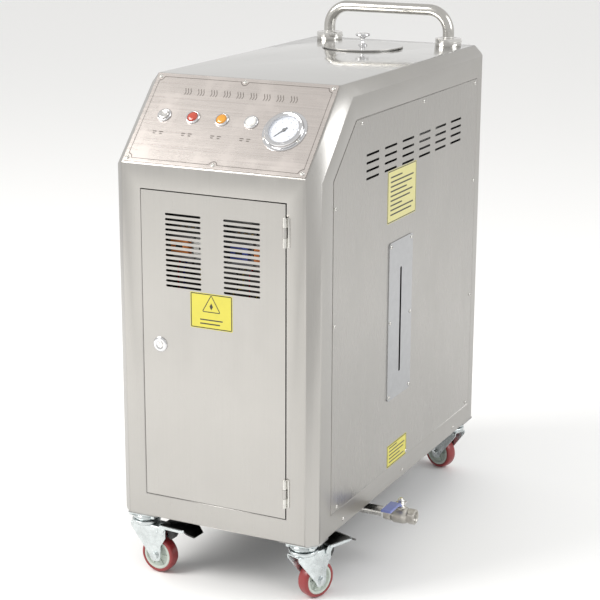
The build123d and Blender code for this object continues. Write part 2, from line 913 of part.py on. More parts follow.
with BuildPart() as hinge_fixed_leaves:
    for z in hinge_centers:
        for step in (-1, 1):
            start = z + step * (knuckle_height + hinge_gap) - knuckle_height / 2
            with BuildSketch(Plane.XY.offset(start)):
                with Locations((hinge_x, hinge_y)):
                    Circle(knuckle_radius)
                with Locations((leaf_middle, front_y - hinge_leaf_thick / 2)):
                    Rectangle(hinge_leaf, hinge_leaf_thick)
                with Locations((hinge_x, hinge_y)):
                    Circle(hinge_pin_radius + pin_clearance / 2, mode=Mode.SUBTRACT)
            extrude(amount=knuckle_height)
        with BuildSketch(Plane.XY.offset(z - hinge_height / 2)):
            with Locations((spine_middle, front_y - hinge_leaf_thick / 2)):
                Rectangle(hinge_spine, hinge_leaf_thick)
        extrude(amount=hinge_height)
save(hinge_fixed_leaves.part, "hinge_fixed_leaves")

with BuildPart() as hinge_pins:
    for z in hinge_centers:
        with BuildSketch(Plane.XY.offset(z - hinge_height / 2)):
            with Locations((hinge_x, hinge_y)):
                Circle(hinge_pin_radius)
        extrude(amount=hinge_height + pin_crown_inset)
        with BuildSketch(Plane.XY.offset(z + hinge_height / 2)):
            with Locations((hinge_x, hinge_y)):
                Circle(knuckle_radius - pin_crown_inset)
        extrude(amount=pin_crown)
save(hinge_pins.part, "hinge_pins")

plug_face = lock_face_thick - plug_recess
lock_plane = Plane(origin=(lock_x, front_y, lock_z), x_dir=(1, 0, 0), z_dir=(0, -1, 0))
cam_start = return_depth + cam_gap
barrel_end = cam_start - 0.3 * cam_gap
with BuildPart() as lock_barrel:
    with BuildSketch(lock_plane):
        Circle(lock_face_radius)
    extrude(amount=lock_face_thick, taper=lock_face_taper)
    with BuildSketch(lock_plane):
        Circle(lock_radius)
    extrude(amount=-barrel_end)
    with BuildSketch(lock_plane.offset(-sheet - lock_nut_gap)):
        Circle(lock_face_radius - lock_nut_inset)
    extrude(amount=-lock_nut_thick)
    with BuildSketch(lock_plane.offset(lock_face_thick)):
        Circle(lock_plug_radius + pin_clearance)
    extrude(amount=-(lock_face_thick + 2 * return_depth), mode=Mode.SUBTRACT)
save(lock_barrel.part, "lock_barrel")

with BuildPart() as lock_cam:
    with BuildSketch(lock_plane.offset(plug_face)):
        Circle(lock_plug_radius)
    extrude(amount=-(plug_face + cam_start + cam_thick + cam_nut))
    with BuildSketch(lock_plane.offset(-cam_start)):
        with Locations((0, -cam_length / 2 + cam_width / 4)):
            SlotOverall(cam_length + cam_width / 2, cam_width, rotation=90)
    extrude(amount=-cam_thick)
    with BuildSketch(lock_plane.offset(plug_face)):
        Rectangle(key_width, key_height)
    extrude(amount=-key_depth, mode=Mode.SUBTRACT)
save(lock_cam.part, "lock_cam")

# ---- water tank with its filler neck ----
with BuildPart() as water_tank:
    with BuildSketch(Plane.XY.offset(tank_bottom)):
        with Locations((0, tank_middle)):
            RectangleRounded(tank_width, tank_depth, tank_corner)
    extrude(amount=tank_top - tank_bottom)
    with BuildSketch(Plane.XY.offset(tank_top)):
        with Locations((lid_x, lid_y)):
            Circle(neck_radius)
    extrude(amount=neck_top - tank_top)
    with BuildSketch(Plane.XY.offset(tank_bottom + sheet)):
        with Locations((0, tank_middle)):
            RectangleRounded(tank_width - 2 * sheet, tank_depth - 2 * sheet, tank_corner - sheet)
    extrude(amount=tank_top - tank_bottom - 2 * sheet, mode=Mode.SUBTRACT)
    with BuildSketch(Plane.XY.offset(tank_top - 2 * sheet)):
        with Locations((lid_x, lid_y)):
            Circle(neck_radius - neck_wall)
    extrude(amount=neck_top - tank_top + 2 * sheet, mode=Mode.SUBTRACT)
save(water_tank.part, "water_tank")

skirt_radius = neck_radius - neck_wall - lid_play
with BuildPart() as tank_lid:
    with BuildSketch(Plane.XY.offset(neck_top)):
        with Locations((lid_x, lid_y)):
            Circle(lid_radius)
    extrude(amount=lid_thick)
    fillet(tank_lid.faces().sort_by(Axis.Z)[-1].edges(), radius=lid_edge)
    with BuildSketch(Plane.XY.offset(neck_top)):
        with Locations((lid_x, lid_y)):
            Circle(skirt_radius)
            Circle(skirt_radius - neck_wall, mode=Mode.SUBTRACT)
    extrude(amount=-lid_skirt)
save(tank_lid.part, "tank_lid")

lid_top = neck_top + lid_thick
with BuildPart() as lid_knob:
    with BuildSketch(Plane.XZ.offset(-lid_y)):
        with BuildLine():
            foot = (lid_x, lid_top)
            line1 = Line(foot, (lid_x + 7.5, lid_top))
            line2 = Line(line1 @ 1, (lid_x + 7.5, lid_top + 2.5))
            line3 = Line(line2 @ 1, (lid_x + 6.0, lid_top + 5.0))
            neck = Spline(
                line3 @ 1,
                (lid_x + 3.6, lid_top + 11.0),
                (lid_x + 5.5, lid_top + 17.0),
                (lid_x + knob_radius - 2, lid_top + knob_height - 7.0),
            )
            rim = Line(neck @ 1, (lid_x + knob_radius, lid_top + knob_height - 5.0))
            crown = Spline(
                rim @ 1,
                (lid_x + knob_radius - 4, lid_top + knob_height - 1.5),
                (lid_x, lid_top + knob_height),
                tangents=((0, 1), (-1, 0)),
            )
            Line(crown @ 1, foot)
        make_face()
    revolve(axis=Axis((lid_x, lid_y, 0), (0, 0, 1)))
save(lid_knob.part, "lid_knob")

# ---- push handle ----
handle_points = [
    (handle_feet[0], handle_y, top_z),
    (handle_feet[0], handle_y, top_z + handle_rise),
    (handle_feet[1], handle_y, top_z + handle_rise),
    (handle_feet[1], handle_y, top_z),
]
save(
    bent_tube(handle_points, handle_bend, handle_radius, handle_radius - handle_wall), "handle_tube"
)

with BuildPart() as handle_flanges:
    for x in handle_feet:
        with BuildSketch(Plane.XY.offset(top_z)):
            with Locations((x, handle_y)):
                Circle(handle_flange_radius)
        extrude(amount=handle_flange_height)
    for level in (0, -1):
        chamfer(handle_flanges.edges().group_by(Axis.Z)[level], length=handle_flange_edge)
    for x in handle_feet:
        with BuildSketch(Plane.XY.offset(top_z)):
            with Locations((x, handle_y)):
                Circle(handle_radius + pin_clearance)
        extrude(amount=handle_flange_height, mode=Mode.SUBTRACT)
save(handle_flanges.part, "handle_flanges")

# ---- boiler ----
boss_places = [(-boss_spread, boiler_y), (boss_spread, boiler_y), (0.0, boiler_y + boss_spread)]
leg_reach = boiler_radius - leg_inset
boss_top = boiler_top + boss_height
feed_boss_end = boiler_y + boiler_radius + feed_boss_reach
feed_level = boiler_bottom + feed_rise
heater_boss_end = boiler_y - boiler_radius - heater_boss_reach
boss_start = boiler_radius - boss_root
with BuildPart() as boiler:
    with BuildSketch(Plane.XY.offset(boiler_bottom)):
        with Locations((0, boiler_y)):
            Circle(boiler_radius)
    extrude(amount=boiler_top - boiler_bottom)
    fillet(boiler.faces().sort_by(Axis.Z)[-1].edges(), radius=boiler_crown)
    with BuildSketch(Plane.XY.offset(pan_top)):
        with Locations((0, boiler_y)):
            with GridLocations(2 * leg_reach, 2 * leg_reach, 2, 2):
                Rectangle(post_size, post_size)
    extrude(amount=boiler_bottom - pan_top + boss_sink)
    with BuildSketch(Plane.XY.offset(boiler_top - boss_sink)):
        with Locations(*boss_places):
            Circle(boss_radius)
    extrude(amount=boss_height + boss_sink)
    with BuildSketch(Plane.XZ.offset(-(boiler_y + boss_start))):
        with Locations((pump_x, feed_level)):
            Circle(boss_radius)
    extrude(amount=-(boss_root + feed_boss_reach))
    with BuildSketch(Plane.XZ.offset(-(boiler_y - boss_start))):
        with Locations((0, heater_z)):
            Circle(heater_flange_radius - heater_step)
    extrude(amount=boss_root + heater_boss_reach)
    with BuildSketch(Plane.XY.offset(boiler_bottom + boiler_wall)):
        with Locations((0, boiler_y)):
            Circle(boiler_radius - boiler_wall)
    extrude(amount=boiler_top - boiler_bottom - 2 * boiler_wall - boiler_end, mode=Mode.SUBTRACT)
    with BuildSketch(Plane.XZ.offset(-(boiler_y - boss_start))):
        with Locations((0, heater_z)):
            Circle(heater_flange_radius - heater_step - heater_boss_wall)
    extrude(amount=boss_root + heater_boss_reach, mode=Mode.SUBTRACT)
save(boiler.part, "boiler")

with BuildPart() as heater:
    with BuildSketch(Plane.XZ.offset(-heater_boss_end)):
        with Locations((0, heater_z)):
            Circle(heater_flange_radius)
    extrude(amount=heater_flange_thick)
    with BuildSketch(Plane.XZ.offset(-heater_boss_end - heater_flange_thick)):
        with Locations((0, heater_z)):
            Circle(heater_flange_radius - heater_cap_inset)
    extrude(amount=heater_cap)
    for x in (-heater_spacing, 0.0, heater_spacing):
        with BuildLine() as hairpin:
            FilletPolyline(
                (x, heater_boss_end, heater_z - heater_half_gap),
                (x, heater_boss_end + heater_reach, heater_z - heater_half_gap),
                (x, heater_boss_end + heater_reach, heater_z + heater_half_gap),
                (x, heater_boss_end, heater_z + heater_half_gap),
                radius=heater_bend,
            )
        with BuildSketch(Plane(origin=hairpin.line @ 0, z_dir=hairpin.line % 0)):
            Circle(heater_rod)
        sweep(path=hairpin.line)
save(heater.part, "heater")

with BuildPart() as safety_valve:
    valve_x, valve_y = boss_places[2]
    for level, radius, height in valve_steps:
        with BuildSketch(Plane.XY.offset(boss_top + level)):
            with Locations((valve_x, valve_y)):
                Circle(radius)
        extrude(amount=height)
save(safety_valve.part, "safety_valve")

# ---- level sight glass on the boiler ----
sight_x = half_width - sight_inset
sight_y = window_y
sight_ends = (
    slit_middle - slit_height / 2 - sight_overrun,
    slit_middle + slit_height / 2 + sight_overrun,
)
with BuildPart() as sight_fittings:
    for end, step in zip(sight_ends, (-1, 1)):
        with BuildSketch(Plane.XY.offset(end)):
            with Locations((sight_x, sight_y)):
                Rectangle(sight_block, sight_block)
        extrude(amount=step * sight_block)
        level = end + step * sight_block / 2
        with BuildSketch(Plane.YZ.offset(boiler_radius + sight_seat_gap)):
            with Locations((sight_y, level)):
                Circle(sight_stem)
        extrude(amount=sight_x - boiler_radius - sight_seat_gap)
save(sight_fittings.part, "sight_fittings")

with BuildPart() as sight_tube:
    with BuildSketch(Plane.XY.offset(sight_ends[0])):
        with Locations((sight_x, sight_y)):
            Circle(sight_radius)
            Circle(sight_radius - sight_wall, mode=Mode.SUBTRACT)
    extrude(amount=sight_ends[1] - sight_ends[0])
save(sight_tube.part, "sight_tube")

# ---- feed pump and pipework ----
with BuildPart() as feed_pump:
    with BuildSketch(Plane.YZ.offset(pump_x - pump_head_size / 2)):
        with Locations((pump_y, pump_z)):
            Circle(pump_motor_radius)
    extrude(amount=-pump_motor_length)
    with BuildSketch(Plane.YZ.offset(pump_x - pump_head_size / 2)):
        with Locations((pump_y, pump_z)):
            Rectangle(pump_head_size, pump_head_size)
    extrude(amount=pump_head_size)
    with BuildSketch(Plane.XY.offset(pan_top)):
        with Locations((pump_x - pump_head_size / 2 - pump_foot_shift, pump_y)):
            Rectangle(pump_foot_length, pump_foot_width)
    extrude(amount=pump_z - pump_motor_radius - pan_top + pump_foot_sink)
save(feed_pump.part, "feed_pump")

pump_front = pump_y - pump_head_size / 2
with BuildPart() as pipework:
    add(
        bent_tube(
            [
                (boss_places[0][0], boss_places[0][1], boss_top),
                (boss_places[0][0], boss_places[0][1], boss_top + steam_loop),
                (steam_x, boiler_y, boss_top + steam_loop),
                (steam_x, boiler_y, steam_z),
                (steam_x, rear_y - steam_stub, steam_z),
            ],
            pipe_bend,
            pipe_radius,
        )
    )
    add(
        bent_tube(
            [
                (pump_x, pump_front, pump_z),
                (pump_x, pump_front - feed_loop, pump_z),
                (pump_x, pump_front - feed_loop, feed_level),
                (pump_x, feed_boss_end, feed_level),
            ],
            pipe_bend,
            pipe_radius,
        )
    )
    with BuildSketch(Plane.XY.offset(pump_z + pump_head_size / 2)):
        with Locations((pump_x, pump_y)):
            Circle(pipe_radius)
    extrude(amount=tank_bottom - pump_z - pump_head_size / 2)
    gauge_back = slope_plane(gauge_x, gauge_t, plate_thick - gauge_depth - gauge_stem).origin
    gauge_turn = (
        gauge_x,
        gauge_back.Y + gauge_drop * slope_rise / slope_run,
        gauge_back.Z - gauge_drop,
    )
    add(
        bent_tube(
            [
                (boss_places[1][0], boiler_y, boss_top),
                (boss_places[1][0], boiler_y, gauge_turn[2]),
                (gauge_x, max(boiler_y - gauge_dogleg, gauge_turn[1] + 3 * gauge_bend), gauge_turn[2]),
                gauge_turn,
                (gauge_x, gauge_back.Y, gauge_back.Z),
            ],
            gauge_bend,
            gauge_pipe_radius,
        )
    )
save(pipework.part, "pipework")

# ---- rear fittings ----
with BuildPart() as steam_outlet:
    plane = Plane(origin=(steam_x, rear_y, steam_z), z_dir=(0, 1, 0))
    for start, radius, height in outlet_steps:
        with BuildSketch(plane.offset(start)):
            Circle(radius)
        extrude(amount=height)
    with BuildSketch(plane):
        Circle(outlet_shank)
    extrude(amount=-shank_depth)
    outlet_end = outlet_steps[-1][0] + outlet_steps[-1][2]
    with BuildSketch(plane.offset(outlet_end)):
        Circle(outlet_bore)
    extrude(amount=-outlet_end, mode=Mode.SUBTRACT)
save(steam_outlet.part, "steam_outlet")

with BuildPart() as cable_gland:
    plane = Plane(origin=(gland_x, rear_y, gland_z), z_dir=(0, 1, 0))
    with BuildSketch(plane):
        RegularPolygon(gland_hex, 6)
    extrude(amount=gland_hex_thick)
    with BuildSketch(plane.offset(gland_hex_thick)):
        Circle(gland_dome)
    extrude(amount=gland_dome_height, taper=gland_taper)
    with BuildSketch(plane):
        Circle(gland_shank)
    extrude(amount=-shank_depth)
    gland_end = gland_hex_thick + gland_dome_height
    with BuildSketch(plane.offset(gland_end)):
        Circle(gland_bore)
    extrude(amount=-(gland_end + shank_depth), mode=Mode.SUBTRACT)
save(cable_gland.part, "cable_gland")

# ---- electrical plate behind the door ----
equipment_y = front_y + equipment_setback
equipment_top = body_bottom + equipment_height
equipment_width = door_width - equipment_inset
rail_levels = (louvre_middle, louvre_middle - rail_drop)
with BuildPart() as equipment_plate:
    with BuildSketch(Plane.XZ.offset(-equipment_y)):
        with Locations((0, (pan_top + equipment_top) / 2)):
            Rectangle(equipment_width, equipment_top - pan_top)
    extrude(amount=-equipment_thick)
    with BuildSketch(Plane.XY.offset(pan_top)):
        with Locations((0, equipment_y + equipment_foot / 2)):
            Rectangle(equipment_width, equipment_foot)
    extrude(amount=equipment_thick)
    for z in rail_levels:
        with BuildSketch(Plane.XZ.offset(-equipment_y)):
            with Locations((0, z)):
                Rectangle(equipment_width - rail_inset, rail_height)
        extrude(amount=rail_depth)
save(equipment_plate.part, "equipment_plate")

rail_face = -(equipment_y - rail_depth)
with BuildPart() as electrical_gear:
    for x in contactor_places:
        with BuildSketch(Plane.XZ.offset(rail_face)):
            with Locations((x, louvre_middle)):
                Rectangle(contactor_width, contactor_height)
        extrude(amount=contactor_depth)
        with BuildSketch(Plane.XZ.offset(rail_face + contactor_depth)):
            with Locations((x, louvre_middle)):
                Rectangle(contactor_width, contactor_nose)
        extrude(amount=contactor_nose_depth)
    with BuildSketch(Plane.XZ.offset(rail_face)):
        with Locations((0, rail_levels[1])):
            with GridLocations(terminal_pitch, 1, terminal_count, 1):
                Rectangle(terminal_width, terminal_height)
    extrude(amount=terminal_depth)
save(electrical_gear.part, "electrical_gear")

# ---- drain pipe and ball valve ----
drain_points = [
    (drain_x, drain_y, boiler_bottom),
    (drain_x, drain_y, drain_z),
    (valve_start, drain_y, drain_z),
]
save(bent_tube(drain_points, drain_bend, drain_pipe_radius, drain_pipe_bore), "drain_pipe")

valve_middle = valve_start + valve_length / 2
valve_end = valve_start + valve_length
stem_foot = drain_z + ball_radius - stem_sink
stem_top = drain_z + stem_rise
with BuildPart() as drain_valve_body:
    with BuildSketch(Plane.YZ.offset(valve_start)):
        with Locations((drain_y, drain_z)):
            RegularPolygon(valve_radius, 6, major_radius=True)
    extrude(amount=valve_hex)
    with BuildSketch(Plane.YZ.offset(valve_end - valve_hex)):
        with Locations((drain_y, drain_z)):
            RegularPolygon(valve_radius, 6, major_radius=True)
    extrude(amount=valve_hex)
    with BuildSketch(Plane.YZ.offset(valve_start + valve_hex - valve_overlap)):
        with Locations((drain_y, drain_z)):
            Circle(valve_radius + valve_belly)
    extrude(amount=valve_length - 2 * (valve_hex - valve_overlap))
    with BuildSketch(Plane.XY.offset(drain_z)):
        with Locations((valve_middle, drain_y)):
            Circle(tower_radius)
    extrude(amount=valve_radius + tower_rise)
    with BuildSketch(Plane.YZ.offset(valve_start)):
        with Locations((drain_y, drain_z)):
            Circle(port_radius)
    extrude(amount=valve_length, mode=Mode.SUBTRACT)
    with BuildSketch(Plane.YZ.offset(valve_end)):
        with Locations((drain_y, drain_z)):
            Circle(thread_radius)
    extrude(amount=-thread_depth, mode=Mode.SUBTRACT)
    with Locations((valve_middle, drain_y, drain_z)):
        Sphere(ball_radius + ball_clear, mode=Mode.SUBTRACT)
    with BuildSketch(Plane.XY.offset(drain_z)):
        with Locations((valve_middle, drain_y)):
            Circle(stem_radius + ball_clear)
    extrude(amount=valve_radius + 2 * tower_rise, mode=Mode.SUBTRACT)
save(drain_valve_body.part, "drain_valve_body")

with BuildPart() as drain_ball:
    with Locations((valve_middle, drain_y, drain_z)):
        Sphere(ball_radius)
    with BuildSketch(Plane.XY.offset(stem_foot)):
        with Locations((valve_middle, drain_y)):
            Circle(stem_radius)
    extrude(amount=stem_top - stem_foot)
    with BuildSketch(Plane.XZ.offset(-(drain_y - ball_radius))):
        with Locations((valve_middle, drain_z)):
            Circle(port_radius)
    extrude(amount=-2 * ball_radius, mode=Mode.SUBTRACT)
save(drain_ball.part, "drain_ball")

lever_z = stem_top - lever_drop
grip_z = lever_z + lever_rise
with BuildPart() as drain_lever:
    with BuildSketch(Plane.YZ.offset(valve_middle - lever_width / 2)):
        with BuildLine():
            Polyline(
                (drain_y + lever_tail, lever_z),
                (drain_y - lever_bend_start, lever_z),
                (drain_y - lever_bend_end, grip_z),
                (drain_y - lever_length, grip_z),
                (drain_y - lever_length, grip_z + lever_thick),
                (drain_y - lever_bend_end + 1, grip_z + lever_thick),
                (drain_y - lever_bend_start + 1, lever_z + lever_thick),
                (drain_y + lever_tail, lever_z + lever_thick),
                close=True,
            )
        make_face()
    extrude(amount=lever_width)
    fillet(drain_lever.edges().filter_by(Axis.Z), radius=lever_round)
    with BuildSketch(Plane.XY.offset(lever_z - 1)):
        with Locations((valve_middle, drain_y)):
            Circle(stem_radius + pin_clearance)
    extrude(amount=lever_thick + 2, mode=Mode.SUBTRACT)
    with BuildSketch(Plane.XY.offset(lever_z + lever_thick)):
        with Locations((valve_middle, drain_y)):
            RegularPolygon(lever_nut, 6)
            Circle(stem_radius + pin_clearance, mode=Mode.SUBTRACT)
    extrude(amount=lever_nut_thick)
save(drain_lever.part, "drain_lever")

# ---- casters ----
race_bottom = plate_bottom - race_height
crown_top = race_bottom - race_gap
crown_low = crown_top - crown_height
kingpin_low = crown_low - 5.0
leg_inner = wheel_width / 2 + fork_side_gap
with BuildPart() as caster_plates:
    for x, y in caster_places.values():
        with BuildSketch(Plane.XY.offset(plate_bottom)):
            with Locations((x, y)):
                RectangleRounded(caster_plate_x, caster_plate_y, 5)
                with GridLocations(58, 38, 2, 2):
                    SlotOverall(11, 8.5, mode=Mode.SUBTRACT)
        extrude(amount=caster_plate_thick)
        with BuildSketch(Plane.XY.offset(plate_bottom)):
            with Locations((x, y)):
                Circle(race_radius - 4)
        extrude(amount=-race_height)
        with BuildSketch(Plane.XY.offset(plate_bottom)):
            with Locations((x, y)):
                Circle(kingpin_radius)
        extrude(amount=-(plate_bottom - kingpin_low))
        with BuildSketch(Plane.XY.offset(kingpin_low)):
            with Locations((x, y)):
                Circle(kingpin_radius + 3)
        extrude(amount=4.5)
save(caster_plates.part, "caster_plates")

pivot_t = 46.0
pivot_z = crown_low - 8.0
pivot_radius = 3.0


def fork_frame(name):
    """A plane at a caster's swivel axis on the floor, its X along the trail."""
    x, y = caster_places[name]
    angle = radians(caster_angles[name])
    return Plane(origin=(x, y, 0), x_dir=(cos(angle), sin(angle), 0), z_dir=(0, 0, 1))


def caster_fork(frame):
    """Pressed fork: a round crown with a raised race, two legs, and the axle bolt."""
    across = Plane(origin=frame.origin, x_dir=frame.x_dir, z_dir=-frame.y_dir)
    with BuildPart() as fork:
        with BuildSketch(frame.offset(crown_low)):
            Circle(race_radius + 2)
            with Locations((caster_trail / 2 + 4, 0)):
                Rectangle(caster_trail + 6, 2 * (leg_inner + fork_thick))
        extrude(amount=crown_height)
        with BuildSketch(frame.offset(crown_low)):
            Circle(kingpin_radius + pin_clearance)
        extrude(amount=crown_height, mode=Mode.SUBTRACT)
        for side in (-1, 1):
            start = leg_inner if side > 0 else -leg_inner - fork_thick
            with BuildSketch(across.offset(start)):
                with BuildLine():
                    Polyline(
                        (-race_radius + 3, crown_low + 4),
                        (-race_radius + 3, crown_low - 8),
                        (caster_trail - 11, wheel_radius + 2),
                        (caster_trail - 11, wheel_radius - 4),
                        (caster_trail + 11, wheel_radius - 4),
                        (caster_trail + 11, wheel_radius + 12),
                        (pivot_t + 7, pivot_z - 7),
                        (pivot_t + 7, crown_low + 4),
                        close=True,
                    )
                make_face()
                with Locations((caster_trail, wheel_radius - 3)):
                    Circle(11)
                with Locations((caster_trail, wheel_radius)):
                    Circle(axle_radius + pin_clearance, mode=Mode.SUBTRACT)
                with Locations((pivot_t, pivot_z)):
                    Circle(pivot_radius + pin_clearance, mode=Mode.SUBTRACT)
            extrude(amount=fork_thick)
        with BuildSketch(frame.offset(crown_low - 6)):
            Circle(kingpin_radius + 4)
        extrude(amount=6, mode=Mode.SUBTRACT)
        with BuildSketch(frame.offset(crown_low)):
            Circle(kingpin_radius + 4)
        extrude(amount=0.5, mode=Mode.SUBTRACT)
    return fork.part


def caster_axle(frame):
    """Axle bolt with its head and nut outside the legs."""
    across = Plane(origin=frame.origin, x_dir=frame.x_dir, z_dir=-frame.y_dir)
    outside = leg_inner + fork_thick
    with BuildPart() as axle:
        with BuildSketch(across.offset(-outside - 6)):
            with Locations((caster_trail, wheel_radius)):
                Circle(axle_radius)
        extrude(amount=2 * outside + 12)
        for start in (-outside - 5, outside):
            with BuildSketch(across.offset(start)):
                with Locations((caster_trail, wheel_radius)):
                    RegularPolygon(7.5, 6)
            extrude(amount=5)
    return axle.part


def wheel_ring(frame, outer, inner, width, edge):
    """A turned ring on the wheel's axle."""
    across = Plane(origin=frame.origin, x_dir=frame.x_dir, z_dir=-frame.y_dir)
    with BuildPart() as ring:
        with BuildSketch(across.offset(-width / 2)):
            with Locations((caster_trail, wheel_radius)):
                Circle(outer)
        extrude(amount=width)
        if edge:
            fillet(ring.edges(), radius=edge)
        with BuildSketch(across.offset(-width / 2)):
            with Locations((caster_trail, wheel_radius)):
                Circle(inner)
        extrude(amount=width, mode=Mode.SUBTRACT)
    return ring.part


def caster_pedal(frame):
    """Brake pedal: a broad pressed tread on two ears that hang on a cross pin."""
    across = Plane(origin=frame.origin, x_dir=frame.x_dir, z_dir=-frame.y_dir)
    ear = leg_inner - 1.0
    top = crown_top - 3.0
    wheel_line = Vector(caster_trail - pivot_t, wheel_radius - pivot_z)
    shoe_reach = wheel_line.length - wheel_radius - 0.8
    along = wheel_line.normalized().rotate(Axis.Z, pedal_travel)
    beside = along.rotate(Axis.Z, 90) * (shoe_thick / 2)
    pin = Vector(pivot_t, pivot_z)
    with BuildPart() as pedal:
        with BuildSketch(across.offset(-pedal_width / 2)):
            with BuildLine():
                Polyline(
                    (pivot_t + 12, top - pedal_thick),
                    (pedal_reach - 22, top - pedal_thick),
                    (pedal_reach, top - 14 - pedal_thick),
                    (pedal_reach, top - 14),
                    (pedal_reach - 20, top),
                    (pivot_t + 12, top),
                    close=True,
                )
            make_face()
        extrude(amount=pedal_width)
        with BuildSketch(frame):
            with Locations((pedal_reach / 2, 0)):
                RectangleRounded(pedal_reach, pedal_width, 18)
        extrude(amount=top + 1, mode=Mode.INTERSECT)
        for start in (-ear, ear - fork_thick):
            with BuildSketch(across.offset(start)):
                with BuildLine():
                    Polyline(
                        (pivot_t - 5, pivot_z - 4),
                        (pivot_t + 5, pivot_z - 6),
                        (pivot_t + 36, top - pedal_thick - 8),
                        (pivot_t + 44, top - 1),
                        (pivot_t + 12, top - 1),
                        (pivot_t - 5, pivot_z + 5),
                        close=True,
                    )
                make_face()
            extrude(amount=fork_thick)
        with BuildSketch(across.offset(-ear)):
            with BuildLine():
                Polyline(
                    pin + beside,
                    pin - beside,
                    pin - beside + along * shoe_reach,
                    pin + beside + along * shoe_reach,
                    close=True,
                )
            make_face()
        extrude(amount=2 * ear)
        with BuildSketch(across.offset(-leg_inner - fork_thick - 1)):
            with Locations((pivot_t, pivot_z)):
                Circle(pivot_radius)
        extrude(amount=2 * (leg_inner + fork_thick + 1))
    return pedal.part


for name in caster_places:
    frame = fork_frame(name)
    with BuildPart() as fork:
        add(caster_fork(frame))
        add(caster_axle(frame))
    save(fork.part, f"caster_fork_{name}")
    core = wheel_ring(frame, core_radius, axle_radius + pin_clearance, wheel_width, 0)
    save(core, f"wheel_core_{name}")
    save(wheel_ring(frame, wheel_radius, core_radius, wheel_width, 6), f"wheel_tread_{name}")
    save(caster_pedal(frame), f"brake_pedal_{name}")
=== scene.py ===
import json
from math import cos, pi, radians, sin

import bmesh
import bpy
from bpy.props import FloatProperty, FloatVectorProperty, IntProperty, PointerProperty
from bpy.types import Operator, Panel, PropertyGroup
from mathutils import Matrix, Vector


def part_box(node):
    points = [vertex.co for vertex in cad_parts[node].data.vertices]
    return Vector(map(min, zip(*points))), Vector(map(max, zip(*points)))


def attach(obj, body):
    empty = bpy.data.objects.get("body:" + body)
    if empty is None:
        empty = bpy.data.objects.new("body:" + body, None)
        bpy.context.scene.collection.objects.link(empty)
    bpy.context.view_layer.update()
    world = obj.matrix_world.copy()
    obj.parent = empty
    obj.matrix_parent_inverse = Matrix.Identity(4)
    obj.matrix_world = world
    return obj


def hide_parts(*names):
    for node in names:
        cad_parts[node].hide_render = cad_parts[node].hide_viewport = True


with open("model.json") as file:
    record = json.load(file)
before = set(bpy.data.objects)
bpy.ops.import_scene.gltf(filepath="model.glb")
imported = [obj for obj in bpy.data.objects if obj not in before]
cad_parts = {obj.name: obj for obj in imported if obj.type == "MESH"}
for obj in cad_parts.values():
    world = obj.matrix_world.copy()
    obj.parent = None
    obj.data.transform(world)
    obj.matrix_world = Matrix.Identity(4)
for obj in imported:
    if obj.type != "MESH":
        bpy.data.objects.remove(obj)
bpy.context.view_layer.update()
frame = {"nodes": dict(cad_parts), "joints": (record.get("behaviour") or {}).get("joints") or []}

bl_info = {
    "name": "Steam Cleaner",
    "version": (1, 0, 0),
    "blender": (4, 5, 0),
    "location": "3D View > Sidebar > Cleaner",
    "description": "Finishes and fine pieces of a mobile steam cleaner, built round its CAD frame",
    "category": "Object",
}

MM = 0.001
CORNERS = ("front_left", "front_right", "rear_right", "rear_left")
UP = Vector((0, 0, 1))
TO_FRONT = Vector((0, -1, 0))
TO_REAR = Vector((0, 1, 0))
TO_RIGHT = Vector((1, 0, 0))


# ---- places, taken from the frame ----
def joint(name):
    """A joint's point and axis."""
    found = next(j for j in frame["joints"] if j["name"] == name)
    return Vector(found.get("pos_m", (0, 0, 0))), Vector(found["axis"])


def middle(node):
    """The middle of a CAD node's box."""
    low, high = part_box(node)
    return (low + high) / 2


def reach(node, origin, direction):
    """How far a CAD node reaches from a point along a direction."""
    return max((v.co - origin).dot(direction) for v in frame["nodes"][node].data.vertices)


def basis(origin, z_axis, x_axis):
    """A matrix that puts local Z and X along two directions at a point."""
    z = Vector(z_axis).normalized()
    x = (Vector(x_axis) - Vector(x_axis).dot(z) * z).normalized()
    placed = Matrix((x, z.cross(x), z)).transposed().to_4x4()
    placed.translation = Vector(origin)
    return placed


def islands(node):
    """The points of each separate solid in a CAD node."""
    work = bmesh.new()
    work.from_mesh(frame["nodes"][node].data)
    bmesh.ops.remove_doubles(work, verts=work.verts, dist=1e-6)
    seen, found = set(), []
    for start in work.verts:
        if start in seen:
            continue
        group, queue = [], [start]
        seen.add(start)
        while queue:
            vert = queue.pop()
            group.append(vert.co.copy())
            for edge in vert.link_edges:
                other = edge.other_vert(vert)
                if other not in seen:
                    seen.add(other)
                    queue.append(other)
        found.append(group)
    work.free()
    return found


def extent(points):
    """The lowest and highest corner of some points."""
    low = Vector([min(p[i] for p in points) for i in range(3)])
    return low, Vector([max(p[i] for p in points) for i in range(3)])


GAUGE_SPOT, INWARD = joint("needle_turn")
SLOPE_NORMAL = -INWARD.normalized()
PLATE_THICK = reach("control_plate", GAUGE_SPOT, SLOPE_NORMAL)


def on_slope(point, height=0.0):
    """A frame on the control plate's face above a point: X across, Y up the slope."""
    drop = (point - GAUGE_SPOT).dot(SLOPE_NORMAL) - PLATE_THICK - height
    return basis(point - drop * SLOPE_NORMAL, SLOPE_NORMAL, TO_RIGHT)


# ---- sizes and colours that a user may change ----
def length(name, text, value):
    return FloatProperty(name=name, description=text, default=value, unit="LENGTH", precision=5)


def share(name, text, value):
    return FloatProperty(name=name, description=text, default=value, min=0, max=1, subtype="FACTOR")


def colour(name, text, value):
    return FloatVectorProperty(
        name=name, description=text, default=value, size=3, min=0, max=1, subtype="COLOR"
    )


